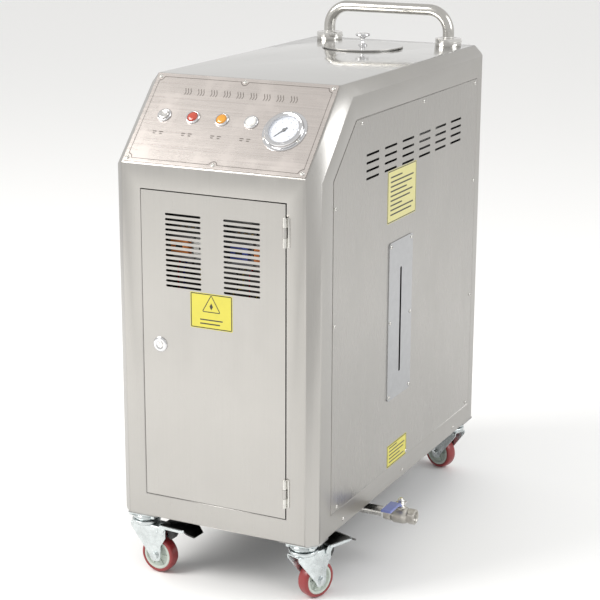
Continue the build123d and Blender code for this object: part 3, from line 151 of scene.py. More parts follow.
class CabinetLook(PropertyGroup):
    steel: colour("Steel", "Colour of the brushed sheet", (0.440, 0.428, 0.408))
    # The roof colour is a real smoother sheet's, made lighter in part as painted light for faces that look
    # up.
    roof: colour("Roof", "Colour of the bright roof sheet", (0.60, 0.595, 0.58))
    roughness: share("Roughness", "Roughness of the brushed sheet", 0.30)
    roof_roughness: share("Roof roughness", "Roughness of the bright roof sheet", 0.09)
    fold: length("Fold", "Outer radius of the shell's folds", 2.2 * MM)
    bend: length("Bend", "Bend radius of the push handle", 46 * MM)


class ControlLook(PropertyGroup):
    plate: colour("Plate", "Colour of the control plate", (0.520, 0.480, 0.455))
    ink: colour("Ink", "Colour of the etched marks", (0.10, 0.085, 0.075))
    line: length("Line", "Width of the etched border", 1.5 * MM)
    inset: length("Inset", "Border's distance from the plate's edge", 8.0 * MM)
    notch: length("Notch", "Radius of the border's bows round the screws", 9.0 * MM)
    title_step: length("Title step", "Spacing of the steam marks", 28 * MM)
    caption_drop: length("Caption drop", "Captions' distance below the lamps", 37 * MM)
    red: colour("Red", "Red pilot lens", (0.384, 0.046, 0.022))
    amber: colour("Amber", "Amber pilot lens", (0.57, 0.255, 0.022))
    clear: colour("Clear", "Clear pilot lens", (0.70, 0.69, 0.66))


class GaugeLook(PropertyGroup):
    dial: colour("Dial", "Colour of the dial", (0.70, 0.725, 0.79))
    major: IntProperty(name="Major", description="Numbered divisions", default=5, min=2, max=12)
    minor: IntProperty(name="Minor", description="Small ticks in all", default=51, min=5, max=101)
    sweep: FloatProperty(name="Sweep", description="Scale angle", default=4.712, subtype="ANGLE")


class LabelLook(PropertyGroup):
    yellow: colour("Yellow", "Ground of the stickers", (0.58, 0.52, 0.06))
    faded: colour("Faded", "Ground of the sun-bleached sticker", (0.55, 0.51, 0.20))
    ink: colour("Ink", "Print on the stickers", (0.035, 0.035, 0.03))
    thick: length("Thickness", "Sticker film", 0.25 * MM)
    line: length("Line", "Width of the printed border", 1.8 * MM)
    door_width: length("Door sticker width", "Width of the door's sticker", 90 * MM)
    door_height: length("Door sticker height", "Height of the door's sticker", 69.5 * MM)
    door_x: length("Door sticker across", "Middle of the door's sticker across", -3 * MM)
    door_z: length("Door sticker level", "Middle of the door's sticker above the floor", 564.8 * MM)


class CasterLook(PropertyGroup):
    zinc: colour("Zinc", "Plated forks and plates", (0.62, 0.66, 0.665))
    tread: colour("Tread", "Polyurethane tyre", (0.238, 0.022, 0.023))
    core: colour("Core", "Moulded wheel core", (0.46, 0.51, 0.46))
    press: length("Press", "Sheet of the pressed fork", 2.8 * MM)


class DrainLook(PropertyGroup):
    cast: colour("Cast", "Investment-cast valve steel", (0.50, 0.48, 0.44))
    sleeve: colour("Sleeve", "Vinyl on the lever", (0.155, 0.185, 0.42))
    tape: colour("Tape", "Sealing tape at the joint", (0.80, 0.80, 0.78))


class StudioLook(PropertyGroup):
    world: share("World", "Strength of the even light", 0.86)
    floor: colour("Floor", "Floor colour", (0.93, 0.93, 0.925))
    key: FloatProperty(name="Key", description="Power of the main soft light", default=170.0)


LOOKS = {
    "cleaner_cabinet": CabinetLook,
    "cleaner_control": ControlLook,
    "cleaner_gauge": GaugeLook,
    "cleaner_labels": LabelLook,
    "cleaner_casters": CasterLook,
    "cleaner_drain": DrainLook,
    "cleaner_studio": StudioLook,
}


def look(name):
    return getattr(bpy.context.scene, "cleaner_" + name)


# ---- node trees ----
class Wire:
    """A node's output that takes part in Python arithmetic by adding Math nodes."""

    def __init__(self, graph, socket):
        self.graph = graph
        self.socket = socket

    def math(self, operation, first, second=0.0):
        return self.graph.node("ShaderNodeMath", {"operation": operation}, {0: first, 1: second})

    def __add__(self, other):
        return self.math("ADD", self, other)

    def __sub__(self, other):
        return self.math("SUBTRACT", self, other)

    def __rsub__(self, other):
        return self.math("SUBTRACT", other, self)

    def __mul__(self, other):
        return self.math("MULTIPLY", self, other)

    def __gt__(self, other):
        return self.math("GREATER_THAN", self, other)

    def __abs__(self):
        return self.math("ABSOLUTE", self)

    __radd__ = __add__
    __rmul__ = __mul__

    def rescale(self, low, high, to_low=0.0, to_high=1.0):
        """This value moved from one range to another and kept inside it."""
        ends = {"From Min": low, "From Max": high, "To Min": to_low, "To Max": to_high}
        return self.graph.node("ShaderNodeMapRange", {"clamp": True}, {"Value": self, **ends})


class Graph:
    """A material's or a geometry group's node tree."""

    def __init__(self, tree):
        self.tree = tree

    def node(self, kind, settings=None, sockets=None, output=0):
        """Add a node: its settings first, then the values or links of its sockets."""
        made = self.tree.nodes.new(kind)
        for key, value in (settings or {}).items():
            setattr(made, key, value)
        for key, value in (sockets or {}).items():
            if isinstance(value, Wire):
                self.tree.links.new(value.socket, made.inputs[key])
            else:
                made.inputs[key].default_value = value
        return Wire(self, made.outputs[output]) if made.outputs else made

    def outputs(self, wire):
        """All the outputs of the node that a wire comes from."""
        return [Wire(self, socket) for socket in wire.socket.node.outputs]

    def place(self, scale=(1, 1, 1)):
        """Object coordinates in metres, stretched by scale."""
        raw = self.node("ShaderNodeTexCoord", output="Object")
        return self.node(
            "ShaderNodeVectorMath", {"operation": "MULTIPLY"}, {0: raw, 1: tuple(scale)}
        )

    def facing(self):
        """The surface normal's X, Y and Z."""
        normal = self.node("ShaderNodeNewGeometry", output="Normal")
        return self.outputs(self.node("ShaderNodeSeparateXYZ", {}, {0: normal}))

    def noise(self, place, scale=1.0, detail=3.0, roughness=0.5):
        sockets = {"Vector": place, "Scale": scale, "Detail": detail, "Roughness": roughness}
        return self.node("ShaderNodeTexNoise", {}, sockets)

    def mix(self, factor, first, second):
        """Two colours mixed by a factor."""
        first, second = (c if isinstance(c, Wire) else (*c[:3], 1.0) for c in (first, second))
        sockets = {0: factor, 6: first, 7: second}
        return self.node("ShaderNodeMix", {"data_type": "RGBA"}, sockets, output=2)

    def bump(self, height, strength, distance):
        sockets = {"Height": height, "Strength": strength, "Distance": distance}
        return self.node("ShaderNodeBump", {}, sockets)


def finish(name, build):
    """The material of that name, its Principled sockets set by build(graph)."""
    if name in bpy.data.materials:
        return bpy.data.materials[name]
    material = bpy.data.materials.new(name)
    material.use_nodes = True
    material.node_tree.nodes.clear()
    graph = Graph(material.node_tree)
    shader = graph.node("ShaderNodeBsdfPrincipled", {}, build(graph))
    graph.node("ShaderNodeOutputMaterial", {}, {"Surface": shader})
    return material


def tinted(base, amount):
    """A colour made lighter or darker by a share."""
    return tuple(min(1.0, c * (1 + amount)) for c in base)


# ---- finishes ----
def hairline(graph, along):
    """Brushing streaks along one axis, 0 to 1: fine scratches over broader bands."""
    fine = [2100.0 if axis != along else 17.0 for axis in range(3)]
    broad = [260.0 if axis != along else 3.0 for axis in range(3)]
    scratches = graph.noise(graph.place(fine), 1.0, 3.0, 0.6)
    bands = graph.noise(graph.place(broad), 1.0, 3.0, 0.6)
    return scratches * 0.55 + bands * 0.45


def brushed(name, base, along, roughness, bright=None, bright_roughness=0.1):
    """Hairline stainless with faint blotches and finger marks. Faces that look up may be of a second,
    smoother sheet whose grain runs front to back; its lighter colour is partly that sheet's own and partly
    painted light, the tops lightened as if lit from above."""

    def build(graph):
        streaks = hairline(graph, along)
        blotch = graph.noise(graph.place(), 4.2, 4.0, 0.6)
        smear = graph.noise(graph.place((1.0, 1.0, 0.45)), 15.0, 4.0, 0.55)
        tone = streaks.rescale(0.36, 0.64) * 0.4 + blotch.rescale(0.3, 0.7) * 0.6
        shade = graph.mix(tone, tinted(base, -0.055), tinted(base, 0.035))
        rough = streaks.rescale(0.3, 0.7, roughness - 0.04, roughness + 0.05)
        rough = rough + smear.rescale(0.5, 0.78, 0.0, 0.08)
        height = streaks
        if bright:
            # Faces that look up get the roof colour: a real smoother sheet, made lighter in part as painted
            # light from above.
            level = graph.facing()[2] > 0.9
            roof_tone_with_painted_light = graph.mix(blotch.rescale(0.3, 0.7), tinted(bright, -0.03), tinted(bright, 0.02))
            shade = graph.mix(level, shade, roof_tone_with_painted_light)
            roof_rough = smear.rescale(0.45, 0.8, bright_roughness, bright_roughness + 0.08)
            rough = rough * (1 - level) + roof_rough * level
            height = streaks * (1 - level) + hairline(graph, 1) * level * 0.25
        return {
            "Base Color": shade,
            "Roughness": rough,
            "Metallic": 1.0,
            "Normal": graph.bump(height, 0.09, 0.0004),
        }

    return finish(name, build)


def plated(name, base, roughness=0.28, mottle=0.10, grain=700.0, depth=0.04, streak=None):
    """Turned, plated or polished metal: cloudy tone, handling marks, a faint skin."""

    def build(graph):
        cloud = graph.noise(graph.place(), 60.0, 4.0, 0.62)
        marks = graph.noise(graph.place(), 210.0, 3.0, 0.6)
        skin = graph.noise(graph.place(), grain, 3.0) if streak is None else hairline(graph, streak)
        tone = cloud.rescale(0.34, 0.66)
        rough = marks.rescale(0.35, 0.75, roughness * 0.8, roughness * 1.45)
        return {
            "Base Color": graph.mix(tone, tinted(base, -mottle), tinted(base, mottle * 0.6)),
            "Roughness": rough,
            "Metallic": 1.0,
            "Normal": graph.bump(skin, depth, 0.0003),
        }

    return finish(name, build)


def moulded(name, base, roughness=0.42, grain=850.0, depth=0.10, coat=0.0, scuff=0.10):
    """Plastic, rubber or paint: a fine moulded skin, dulled and lightened where it is handled."""

    def build(graph):
        skin = graph.noise(graph.place(), grain, 2.0)
        wear = graph.noise(graph.place(), 45.0, 5.0, 0.65)
        shade = graph.mix(wear.rescale(0.42, 0.72), base, tinted(base, scuff))
        return {
            "Base Color": graph.mix(wear.rescale(0.28, 0.4, 1.0, 0.0), shade, tinted(base, -scuff)),
            "Roughness": wear.rescale(0.3, 0.75, roughness * 0.85, min(1.0, roughness * 1.3)),
            "Coat Weight": coat,
            "Normal": graph.bump(skin, depth, 0.0002),
        }

    return finish(name, build)


def lens_finish(name, base):
    """A lit-through lamp cap: clear gloss over a softly glowing colour."""

    def build(graph):
        deep = graph.noise(graph.place(), 160.0, 2.0)
        return {
            "Base Color": graph.mix(deep.rescale(0.3, 0.7), tinted(base, -0.12), tinted(base, 0.1)),
            "Roughness": deep.rescale(0.3, 0.7, 0.10, 0.18),
            "Coat Weight": 0.7,
            "Coat Roughness": 0.04,
            "Emission Color": (*base, 1.0),
            "Emission Strength": 0.12,
        }

    return finish(name, build)


def glass_finish():
    """Thin clear glass that shows what lies behind it."""

    def build(graph):
        smudge = graph.noise(graph.place(), 70.0, 3.0)
        return {
            "Base Color": (0.93, 0.96, 0.97, 1.0),
            "Roughness": smudge.rescale(0.45, 0.8, 0.02, 0.10),
            "Alpha": smudge.rescale(0.35, 0.8, 0.05, 0.09),
            "Coat Weight": 1.0,
            "Coat Roughness": 0.02,
        }

    return finish("clear glass", build)


# ---- meshes ----
def show(name, mesh, *materials):
    """An object for a mesh, smooth but for its sharper edges."""
    for material in materials:
        mesh.materials.append(material)
    mesh.polygons.foreach_set("use_smooth", [True] * len(mesh.polygons))
    mesh.set_sharp_from_angle(angle=radians(38))
    piece = bpy.data.objects.new(name, mesh)
    bpy.context.scene.collection.objects.link(piece)
    return piece


def new_piece(name, work, *materials):
    mesh = bpy.data.meshes.new(name)
    work.to_mesh(mesh)
    work.free()
    return show(name, mesh, *materials)


def settle(piece):
    """The piece with its modifiers made part of a plain mesh."""
    view = bpy.context.evaluated_depsgraph_get()
    mesh = bpy.data.meshes.new_from_object(piece.evaluated_get(view))
    piece.modifiers.clear()
    piece.data = mesh
    return piece


def seat(piece, body, slot, *nodes):
    """The piece rides on a body and stands for CAD nodes; slot is not used."""
    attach(piece, body)
    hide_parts(*nodes)
    return piece


def paint(material, *nodes):
    """A CAD node keeps its mesh and gets a finish."""
    for node in nodes:
        slots = frame["nodes"][node].data.materials
        slots.clear()
        slots.append(material)


def skin(work, rings, slot, closed):
    """Faces between rings of points; a ring of one point is a pole."""
    count = max(len(ring) for ring in rings)
    for low, high in zip(rings, rings[1:] + (rings[:1] if closed else [])):
        for k in range(count):
            n = (k + 1) % count
            corners = [low[k % len(low)], low[n % len(low)], high[n % len(high)], high[k % len(high)]]
            corners = list(dict.fromkeys(corners))
            if len(corners) > 2:
                work.faces.new(corners).material_index = slot


def add_turned(work, placed, profile, steps=48, slot=0, closed=False):
    """A profile of (radius, height) turned round local Z. It runs up the outside of the
    shape, so faces point outwards. A third value, "hex", makes that ring a hexagon."""
    rings = []
    for radius, height, *shape in profile:
        ring = []
        for k in range(steps if radius > 1e-7 else 1):
            angle = 2 * pi * k / steps
            flat = cos(pi / 6) / cos(angle % (pi / 3) - pi / 6) if shape else 1
            spot = Vector((radius * flat * cos(angle), radius * flat * sin(angle), height))
            ring.append(work.verts.new(placed @ spot))
        rings.append(ring)
    skin(work, rings, slot, closed)


def rounded(corners, radius, steps=5):
    """An anticlockwise outline with round corners; a corner may give its own radius."""
    outline = []
    for k, corner in enumerate(corners):
        here, own = Vector(corner[:2]), (corner[2] if len(corner) > 2 else radius)
        if own <= 0:
            outline.append(here)
            continue
        back = (Vector(corners[k - 1][:2]) - here).normalized()
        onward = (Vector(corners[(k + 1) % len(corners)][:2]) - here).normalized()
        half = back.angle(onward) / 2
        centre = here + (back + onward).normalized() * own / sin(half)
        ends = [here + way * own / sin(half) * cos(half) - centre for way in (back, onward)]
        for s in range(steps + 1):
            outline.append(centre + ends[0].lerp(ends[1], s / steps).normalized() * own)
    return outline


def oblong(width, height, radius, at=(0, 0), steps=5):
    """A rounded rectangle round a point."""
    w, h = width / 2, height / 2
    corners = [(at[0] + x, at[1] + y) for x, y in ((-w, -h), (w, -h), (w, h), (-w, h))]
    return rounded(corners, radius, steps)


def inset(outline, amount):
    """An anticlockwise outline moved inwards."""
    moved = []
    for k, here in enumerate(outline):
        back = (Vector(here) - Vector(outline[k - 1])).normalized()
        onward = (Vector(outline[(k + 1) % len(outline)]) - Vector(here)).normalized()
        first, second = Vector((-back.y, back.x)), Vector((-onward.y, onward.x))
        moved.append(Vector(here) + (first + second) * amount / (1 + first.dot(second)))
    return moved


def add_slab(work, placed, outline, low, high, slot=0, edge=0.0):
    """A slab over an anticlockwise outline, its rims chamfered by edge."""
    levels = [(outline, low), (outline, high)]
    if edge:
        small = inset(outline, edge)
        levels = [(small, low), (outline, low + edge), (outline, high - edge), (small, high)]
    rings = [[work.verts.new(placed @ Vector((*p, z))) for p in line] for line, z in levels]
    skin(work, rings, slot, False)
    work.faces.new(rings[0][::-1]).material_index = slot
    work.faces.new(rings[-1]).material_index = slot


def add_block(work, placed, low, high, slot=0, edge=0.0004):
    """A box between two corners with chamfered rims."""
    outline = [(low[0], low[1]), (high[0], low[1]), (high[0], high[1]), (low[0], high[1])]
    outline = oblong(high[0] - low[0], high[1] - low[1], edge, Vector(outline[0]).lerp(outline[2], 0.5), 1)
    add_slab(work, placed, outline, low[2], high[2], slot, edge * 0.6)


def carve(piece, cutters, operation="DIFFERENCE"):
    """Cut the piece with other solids, which are used up."""
    for cutter in cutters:
        modifier = piece.modifiers.new("Cut", "BOOLEAN")
        modifier.operation = operation
        modifier.solver = "EXACT"
        modifier.object = cutter
    settle(piece)
    for cutter in cutters:
        bpy.data.objects.remove(cutter)
    return piece


def bevelled(piece, width, segments=2, angle=30.0):
    """Round the piece's sharp edges."""
    modifier = piece.modifiers.new("Edges", "BEVEL")
    modifier.width = width
    modifier.segments = segments
    modifier.limit_method = "ANGLE"
    modifier.angle_limit = radians(angle)
    modifier.use_clamp_overlap = False
    settle(piece)
    piece.data.polygons.foreach_set("use_smooth", [True] * len(piece.data.polygons))
    piece.data.set_sharp_from_angle(angle=radians(38))
    return piece


def rounded_copy(name, node, width, shortest, *materials, segments=3):
    """A copy of a folded sheet whose long outer edges are rounded as a press brake does."""
    work = bmesh.new()
    work.from_mesh(frame["nodes"][node].data)
    bmesh.ops.remove_doubles(work, verts=work.verts, dist=1e-6)
    bmesh.ops.dissolve_limit(work, angle_limit=radians(0.5), verts=work.verts, edges=work.edges)
    folds = []
    for edge in work.edges:
        if edge.is_convex and edge.calc_length() > shortest and edge.calc_face_angle(0) > radians(12):
            folds.append(edge)
    bmesh.ops.bevel(
        work, geom=folds, offset=width, segments=segments, profile=0.5, affect="EDGES",
        clamp_overlap=False,
    )
    return new_piece(name, work, *materials)


def add_text(work, placed, words, size, slot=0):
    """Plain figures, centred on a point."""
    curve = bpy.data.curves.new("figures", "FONT")
    curve.body, curve.size, curve.extrude = words, size, 0.03 * MM
    curve.align_x, curve.align_y = "CENTER", "CENTER"
    holder = bpy.data.objects.new("figures", curve)
    bpy.context.scene.collection.objects.link(holder)
    view = bpy.context.evaluated_depsgraph_get()
    mesh = bpy.data.meshes.new_from_object(holder.evaluated_get(view))
    mesh.transform(placed)
    bpy.data.objects.remove(holder)
    start = len(work.faces)
    work.from_mesh(mesh)
    work.faces.ensure_lookup_table()
    for face in work.faces[start:]:
        face.material_index = slot


# ---- geometry nodes ----
def grower(name, sizes, build):
    """A Geometry Nodes tree with named inputs. It ends by making its copies real and
    giving them their material."""
    tree = bpy.data.node_groups.new(name, "GeometryNodeTree")
    tree.interface.new_socket("Geometry", in_out="INPUT", socket_type="NodeSocketGeometry")
    for label, kind in {**sizes, "Material": "Material"}.items():
        tree.interface.new_socket(label, in_out="INPUT", socket_type="NodeSocket" + kind)
    tree.interface.new_socket("Geometry", in_out="OUTPUT", socket_type="NodeSocketGeometry")
    graph = Graph(tree)
    start = graph.node("NodeGroupInput")
    wires = {wire.socket.name: wire for wire in graph.outputs(start) if wire.socket.name}
    made = graph.node("GeometryNodeRealizeInstances", {}, {0: build(graph, wires)})
    sockets = {"Geometry": made, "Material": wires["Material"]}
    graph.node("NodeGroupOutput", {}, {0: graph.node("GeometryNodeSetMaterial", {}, sockets)})
    return tree


def grow(name, seed, tree, material, placed=None, **sizes):
    """Run a tree over a seed mesh and put the plain result in place."""
    piece = new_piece(name, seed)
    modifier = piece.modifiers.new("Grow", "NODES")
    modifier.node_group = tree
    values = {key.replace("_", " ").capitalize(): value for key, value in sizes.items()}
    values["Material"] = material
    for item in tree.interface.items_tree:
        if item.in_out == "INPUT" and item.name in values:
            modifier[item.identifier] = values[item.name]
    settle(piece)
    if placed:
        piece.data.transform(placed)
    piece.data.polygons.foreach_set("use_smooth", [True] * len(piece.data.polygons))
    piece.data.set_sharp_from_angle(angle=radians(38))
    return piece


def joined(name, pieces):
    """Several pieces made one mesh, their materials kept."""
    work, materials = bmesh.new(), []
    for piece in pieces:
        start = len(work.faces)
        work.from_mesh(piece.data)
        work.faces.ensure_lookup_table()
        own = list(piece.data.materials) or [None]
        for material in own:
            if material not in materials:
                materials.append(material)
        for face in work.faces[start:]:
            face.material_index = materials.index(own[min(face.material_index, len(own) - 1)])
        bpy.data.objects.remove(piece)
    return new_piece(name, work, *materials)


def make_screws_tree():
    """A head on every point, turned to the point's "facing" and as wide as its "width"."""

    def build(graph, wires):
        facing = graph.node("GeometryNodeInputNamedAttribute", {"data_type": "FLOAT_VECTOR"}, {0: "facing"})
        width = graph.node("GeometryNodeInputNamedAttribute", {"data_type": "FLOAT"}, {0: "width"})
        turn = graph.node("FunctionNodeAlignRotationToVector", {"axis": "Z"}, {"Vector": facing})
        head = graph.node("GeometryNodeObjectInfo", {}, {"Object": wires["Head"]}, output="Geometry")
        sockets = {"Points": wires["Geometry"], "Instance": head, "Rotation": turn, "Scale": width}
        return graph.node("GeometryNodeInstanceOnPoints", {}, sockets)

    return grower("heads on points", {"Head": "Object"}, build)


def make_tube_tree():
    """A round tube along a path of straight runs, its corners bent to a radius."""

    def build(graph, wires):
        path = graph.node("GeometryNodeMeshToCurve", {}, {"Mesh": wires["Geometry"]})
        sockets = {"Curve": path, "Radius": wires["Bend"], "Limit Radius": True, "Count": 14}
        path = graph.node("GeometryNodeFilletCurve", {"mode": "POLY"}, sockets)
        ring = {"Radius": wires["Radius"], "Resolution": 28}
        ring = graph.node("GeometryNodeCurvePrimitiveCircle", {"mode": "RADIUS"}, ring)
        sockets = {"Curve": path, "Profile Curve": ring, "Fill Caps": True}
        return graph.node("GeometryNodeCurveToMesh", {}, sockets)

    return grower("bent tube", {"Radius": "Float", "Bend": "Float"}, build)


def make_strip_tree():
    """A flat raised line along a path that lies in the plane."""

    def build(graph, wires):
        path = graph.node("GeometryNodeMeshToCurve", {}, {"Mesh": wires["Geometry"]})
        path = graph.node("GeometryNodeSetCurveNormal", {"mode": "Z_UP"}, {"Curve": path})
        bar = {"Width": wires["Width"], "Height": wires["Height"]}
        bar = graph.node("GeometryNodeCurvePrimitiveQuadrilateral", {"mode": "RECTANGLE"}, bar)
        sockets = {"Curve": path, "Profile Curve": bar, "Fill Caps": True}
        return graph.node("GeometryNodeCurveToMesh", {}, sockets)

    return grower("raised line", {"Width": "Float", "Height": "Float"}, build)


def make_row_tree():
    """A row of copies of an object."""

    def build(graph, wires):
        sockets = {"Count": wires["Count"], "Offset": wires["Step"]}
        row = graph.node("GeometryNodeMeshLine", {"mode": "OFFSET", "count_mode": "TOTAL"}, sockets)
        thing = graph.node("GeometryNodeObjectInfo", {}, {"Object": wires["Thing"]}, output="Geometry")
        return graph.node("GeometryNodeInstanceOnPoints", {}, {"Points": row, "Instance": thing})

    return grower("row", {"Thing": "Object", "Count": "Int", "Step": "Vector"}, build)


def make_scale_tree():
    """Tick marks round a dial, as a gauge's scale."""

    def build(graph, wires):
        arc = {
            "Resolution": wires["Count"], "Radius": wires["Radius"],
            "Start Angle": wires["Start"], "Sweep Angle": wires["Sweep"],
        }
        arc = graph.node("GeometryNodeCurveArc", {"mode": "RADIUS"}, arc)
        spot = graph.node("GeometryNodeInputPosition")
        turn = graph.node("FunctionNodeAlignRotationToVector", {"axis": "X"}, {"Vector": spot})
        size = graph.node("ShaderNodeCombineXYZ", {}, {0: wires["Length"], 1: wires["Width"], 2: 0.0001})
        tick = graph.node("GeometryNodeMeshCube", {}, {"Size": size})
        points = graph.node("GeometryNodeCurveToPoints", {"mode": "EVALUATED"}, {"Curve": arc})
        sockets = {"Points": points, "Instance": tick, "Rotation": turn}
        return graph.node("GeometryNodeInstanceOnPoints", {}, sockets)

    kinds = {"Count": "Int", "Radius": "Float", "Start": "Float", "Sweep": "Float"}
    return grower("dial scale", {**kinds, "Length": "Float", "Width": "Float"}, build)


TREES = {}


def tree(make):
    """The tree that a maker builds, made once."""
    name = make.__name__
    if name not in TREES:
        TREES[name] = make()
    return TREES[name]





def path_seed(points, closed=False):
    """A mesh of points joined in a line."""
    work = bmesh.new()
    verts = [work.verts.new(point if len(point) == 3 else (*point, 0)) for point in points]
    for first, second in zip(verts, verts[1:] + (verts[:1] if closed else [])):
        work.edges.new((first, second))
    return work


def head_seed(places):
    """Points for heads: each place is (point, facing, width)."""
    work = bmesh.new()
    facing = work.verts.layers.float_vector.new("facing")
    width = work.verts.layers.float.new("width")
    for point, way, across in places:
        vert = work.verts.new(point)
        vert[facing] = way
        vert[width] = across
    return work


# ---- finishes of this machine ----
def sheet():
    cabinet = look("cabinet")
    return brushed("brushed sheet", cabinet.steel, 2, cabinet.roughness, cabinet.roof, cabinet.roof_roughness)


def door_sheet():
    return brushed("door sheet", tinted(look("cabinet").steel, 0.05), 2, look("cabinet").roughness)


def side_sheet():
    return brushed("side sheet", look("cabinet").steel, 2, look("cabinet").roughness - 0.03)


def inner_sheet():
    return brushed("mill sheet", (0.46, 0.46, 0.45), 1, 0.42)


def bright_steel():
    return plated("bright steel", (0.70, 0.69, 0.67), 0.16, 0.06)


def screw_steel():
    return plated("screw steel", (0.62, 0.61, 0.58), 0.24, 0.08)


def chrome():
    return plated("chrome", (0.66, 0.66, 0.67), 0.07, 0.04)


def zinc():
    return plated("zinc plate", look("casters").zinc, 0.30, 0.14, 420.0, 0.07)


# Near black for keyways and slots: painted shade for the dark inside a hole.
def painted_hole_shade():
    return moulded("dark bore", (0.02, 0.02, 0.02), 0.6)


# ---- cabinet ----
# The cut on the cabinet's upright corners, how far inside it the floor pan's corners end, and
# how far out, from what height and how far up into the cabinet the cutters for them reach.
FACET = 22.0 * MM
PAN_INSIDE = 2.0 * MM
PAD_REACH = 15.0 * MM
CUT_LOW = 110.0 * MM
CUT_RISE = 60.0 * MM


class BuildCabinet(Operator):
    """Fold the cabinet shell and finish the sheets round it"""

    bl_idname = "cleaner.cabinet"
    bl_label = "Cabinet"

    def execute(self, context):
        shell = rounded_copy("cabinet_shell", "body_shell", look("cabinet").fold, 60 * MM, sheet())
        seat(shell, "cabinet", "stainless", "body_shell")
        paint(side_sheet(), "side_panel_left", "side_panel_right", "rear_panel")
        work = bmesh.new()
        work.from_mesh(frame["nodes"]["base_pan"].data)
        pan = new_piece("floor_pan", work, inner_sheet())
        low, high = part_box("body_shell")
        edge = high.x + high.y - FACET - PAN_INSIDE
        cutters = []
        for side in (-1, 1):
            work = bmesh.new()
            out_x, out_y = high.x + PAD_REACH, high.y + PAD_REACH
            corner = [(out_x, edge - out_x), (out_x, out_y), (edge - out_y, out_y)]
            outline = [Vector((side * x, -y)) for x, y in corner[::-side]]
            add_slab(work, Matrix.Identity(4), outline, CUT_LOW, low.z + CUT_RISE)
            cutters.append(new_piece("corner", work))
        seat(carve(pan, cutters), "cabinet", "stainless", "base_pan")
        paint(plated("window steel", (0.44, 0.445, 0.455), 0.10, 0.05), "window_plate")
        return {"FINISHED"}


class BuildDoor(Operator):
    """Finish the door, its hinges and their pins"""

    bl_idname = "cleaner.door"
    bl_label = "Door and hinges"

    def execute(self, context):
        paint(door_sheet(), "door")
        leaves = rounded_copy("hinge_leaves", "hinge_fixed_leaves", 0.4 * MM, 4 * MM, screw_steel(),
                              segments=2)
        seat(leaves, "cabinet", "hinge_steel", "hinge_fixed_leaves")
        paint(bright_steel(), "hinge_pins")
        return {"FINISHED"}


class BuildHandle(Operator):
    """Bend the push handle and turn the collars at its feet"""

    bl_idname = "cleaner.handle"
    bl_label = "Push handle"

    def execute(self, context):
        low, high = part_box("handle_tube")
        radius = (high.y - low.y) / 2
        across, y = high.x - radius, (low.y + high.y) / 2
        corners = [(-across, y, low.z), (-across, y, high.z - radius)]
        corners += [(-x, y, z) for x, y, z in reversed(corners)]
        steel = plated("handle steel", (0.50, 0.49, 0.465), 0.20, 0.05, streak=0)
        tube = grow(
            "push_handle", path_seed(corners), tree(make_tube_tree), steel,
            radius=radius, bend=look("cabinet").bend,
        )
        seat(tube, "cabinet", "polished_steel", "handle_tube")
        low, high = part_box("handle_flanges")
        wide, tall = (high.y - low.y) / 2, high.z - low.z
        work = bmesh.new()
        for side in (-1, 1):
            foot = Matrix.Translation((side * across, y, low.z))
            collar = [
                (radius, 0), (wide - 0.6 * MM, 0), (wide, 0.8 * MM), (wide, tall * 0.42),
                (wide - 0.9 * MM, tall * 0.47), (wide - 0.9 * MM, tall * 0.53), (wide, tall * 0.58),
                (wide, tall - 1.6 * MM), (wide - 1.6 * MM, tall), (radius + 2.6 * MM, tall),
                (radius + 1.1 * MM, tall + 0.7 * MM), (radius + 0.2 * MM, tall + 2.4 * MM),
                (radius - 0.3 * MM, tall + 2.4 * MM), (radius - 0.3 * MM, 0),
            ]
            add_turned(work, foot, collar, 72, closed=True)
            for angle in (-90, 30, 150):
                way = Vector((cos(radians(angle)), sin(radians(angle)), 0))
                screw = basis(foot @ (way * (wide - 1.0 * MM) + UP * tall * 0.5), way, UP)
                grub = [(0, 0), (2.6, 0), (2.6, 1.3), (2.2, 1.6), (1.5, 1.6, "hex"), (1.4, 0.6, "hex"),
                        (0, 0.5)]
                add_turned(work, screw, [(r * MM, h * MM, *x) for r, h, *x in grub], 24)
        seat(new_piece("handle_collars", work, bright_steel()), "cabinet", "polished_steel", "handle_flanges")
        return {"FINISHED"}


class BuildLid(Operator):
    """Finish the filler lid and turn its knob"""

    bl_idname = "cleaner.lid"
    bl_label = "Filler lid"

    def execute(self, context):
        cabinet = look("cabinet")
        # The lid's upward face takes the roof colour, lighter partly as painted light from above.
        disc = brushed("lid sheet", cabinet.steel, 1, 0.24, cabinet.roof, cabinet.roof_roughness + 0.03)
        paint(disc, "tank_lid")
        low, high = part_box("lid_knob")
        foot, wide, tall = middle("lid_knob"), (high.x - low.x) / 2, high.z - low.z
        foot.z = low.z
        profile = [
            (0, 0), (0.62, 0), (0.62, 0.06), (0.55, 0.10), (0.36, 0.16), (0.25, 0.26), (0.22, 0.38),
            (0.24, 0.50), (0.34, 0.60), (0.60, 0.68), (0.90, 0.74), (0.98, 0.79), (1.0, 0.85),
            (0.95, 0.91), (0.80, 0.96), (0.5, 0.99), (0, 1.0),
        ]
        work = bmesh.new()
        profile = [(r * wide, h * tall) for r, h in profile]
        add_turned(work, Matrix.Translation(foot), profile, 64)
        seat(new_piece("lid_grip", work, chrome()), "lid", "polished_steel", "lid_knob")
        return {"FINISHED"}


# ---- control face ----
def plate_frame():
    """The control plate's middle, and half of its width and height."""
    up = SLOPE_NORMAL.cross(TO_RIGHT)
    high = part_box("control_plate")[1]
    ends = [reach("control_plate", GAUGE_SPOT, way) for way in (up, -up)]
    spot = GAUGE_SPOT - TO_RIGHT * GAUGE_SPOT.x + up * (ends[0] - ends[1]) / 2
    return on_slope(spot), high.x, (ends[0] + ends[1]) / 2


def bow(centre, radius, start, sweep, steps=12):
    """Points along an arc."""
    angles = [start + sweep * k / steps for k in range(steps + 1)]
    return [(centre[0] + radius * cos(a), centre[1] + radius * sin(a)) for a in angles]


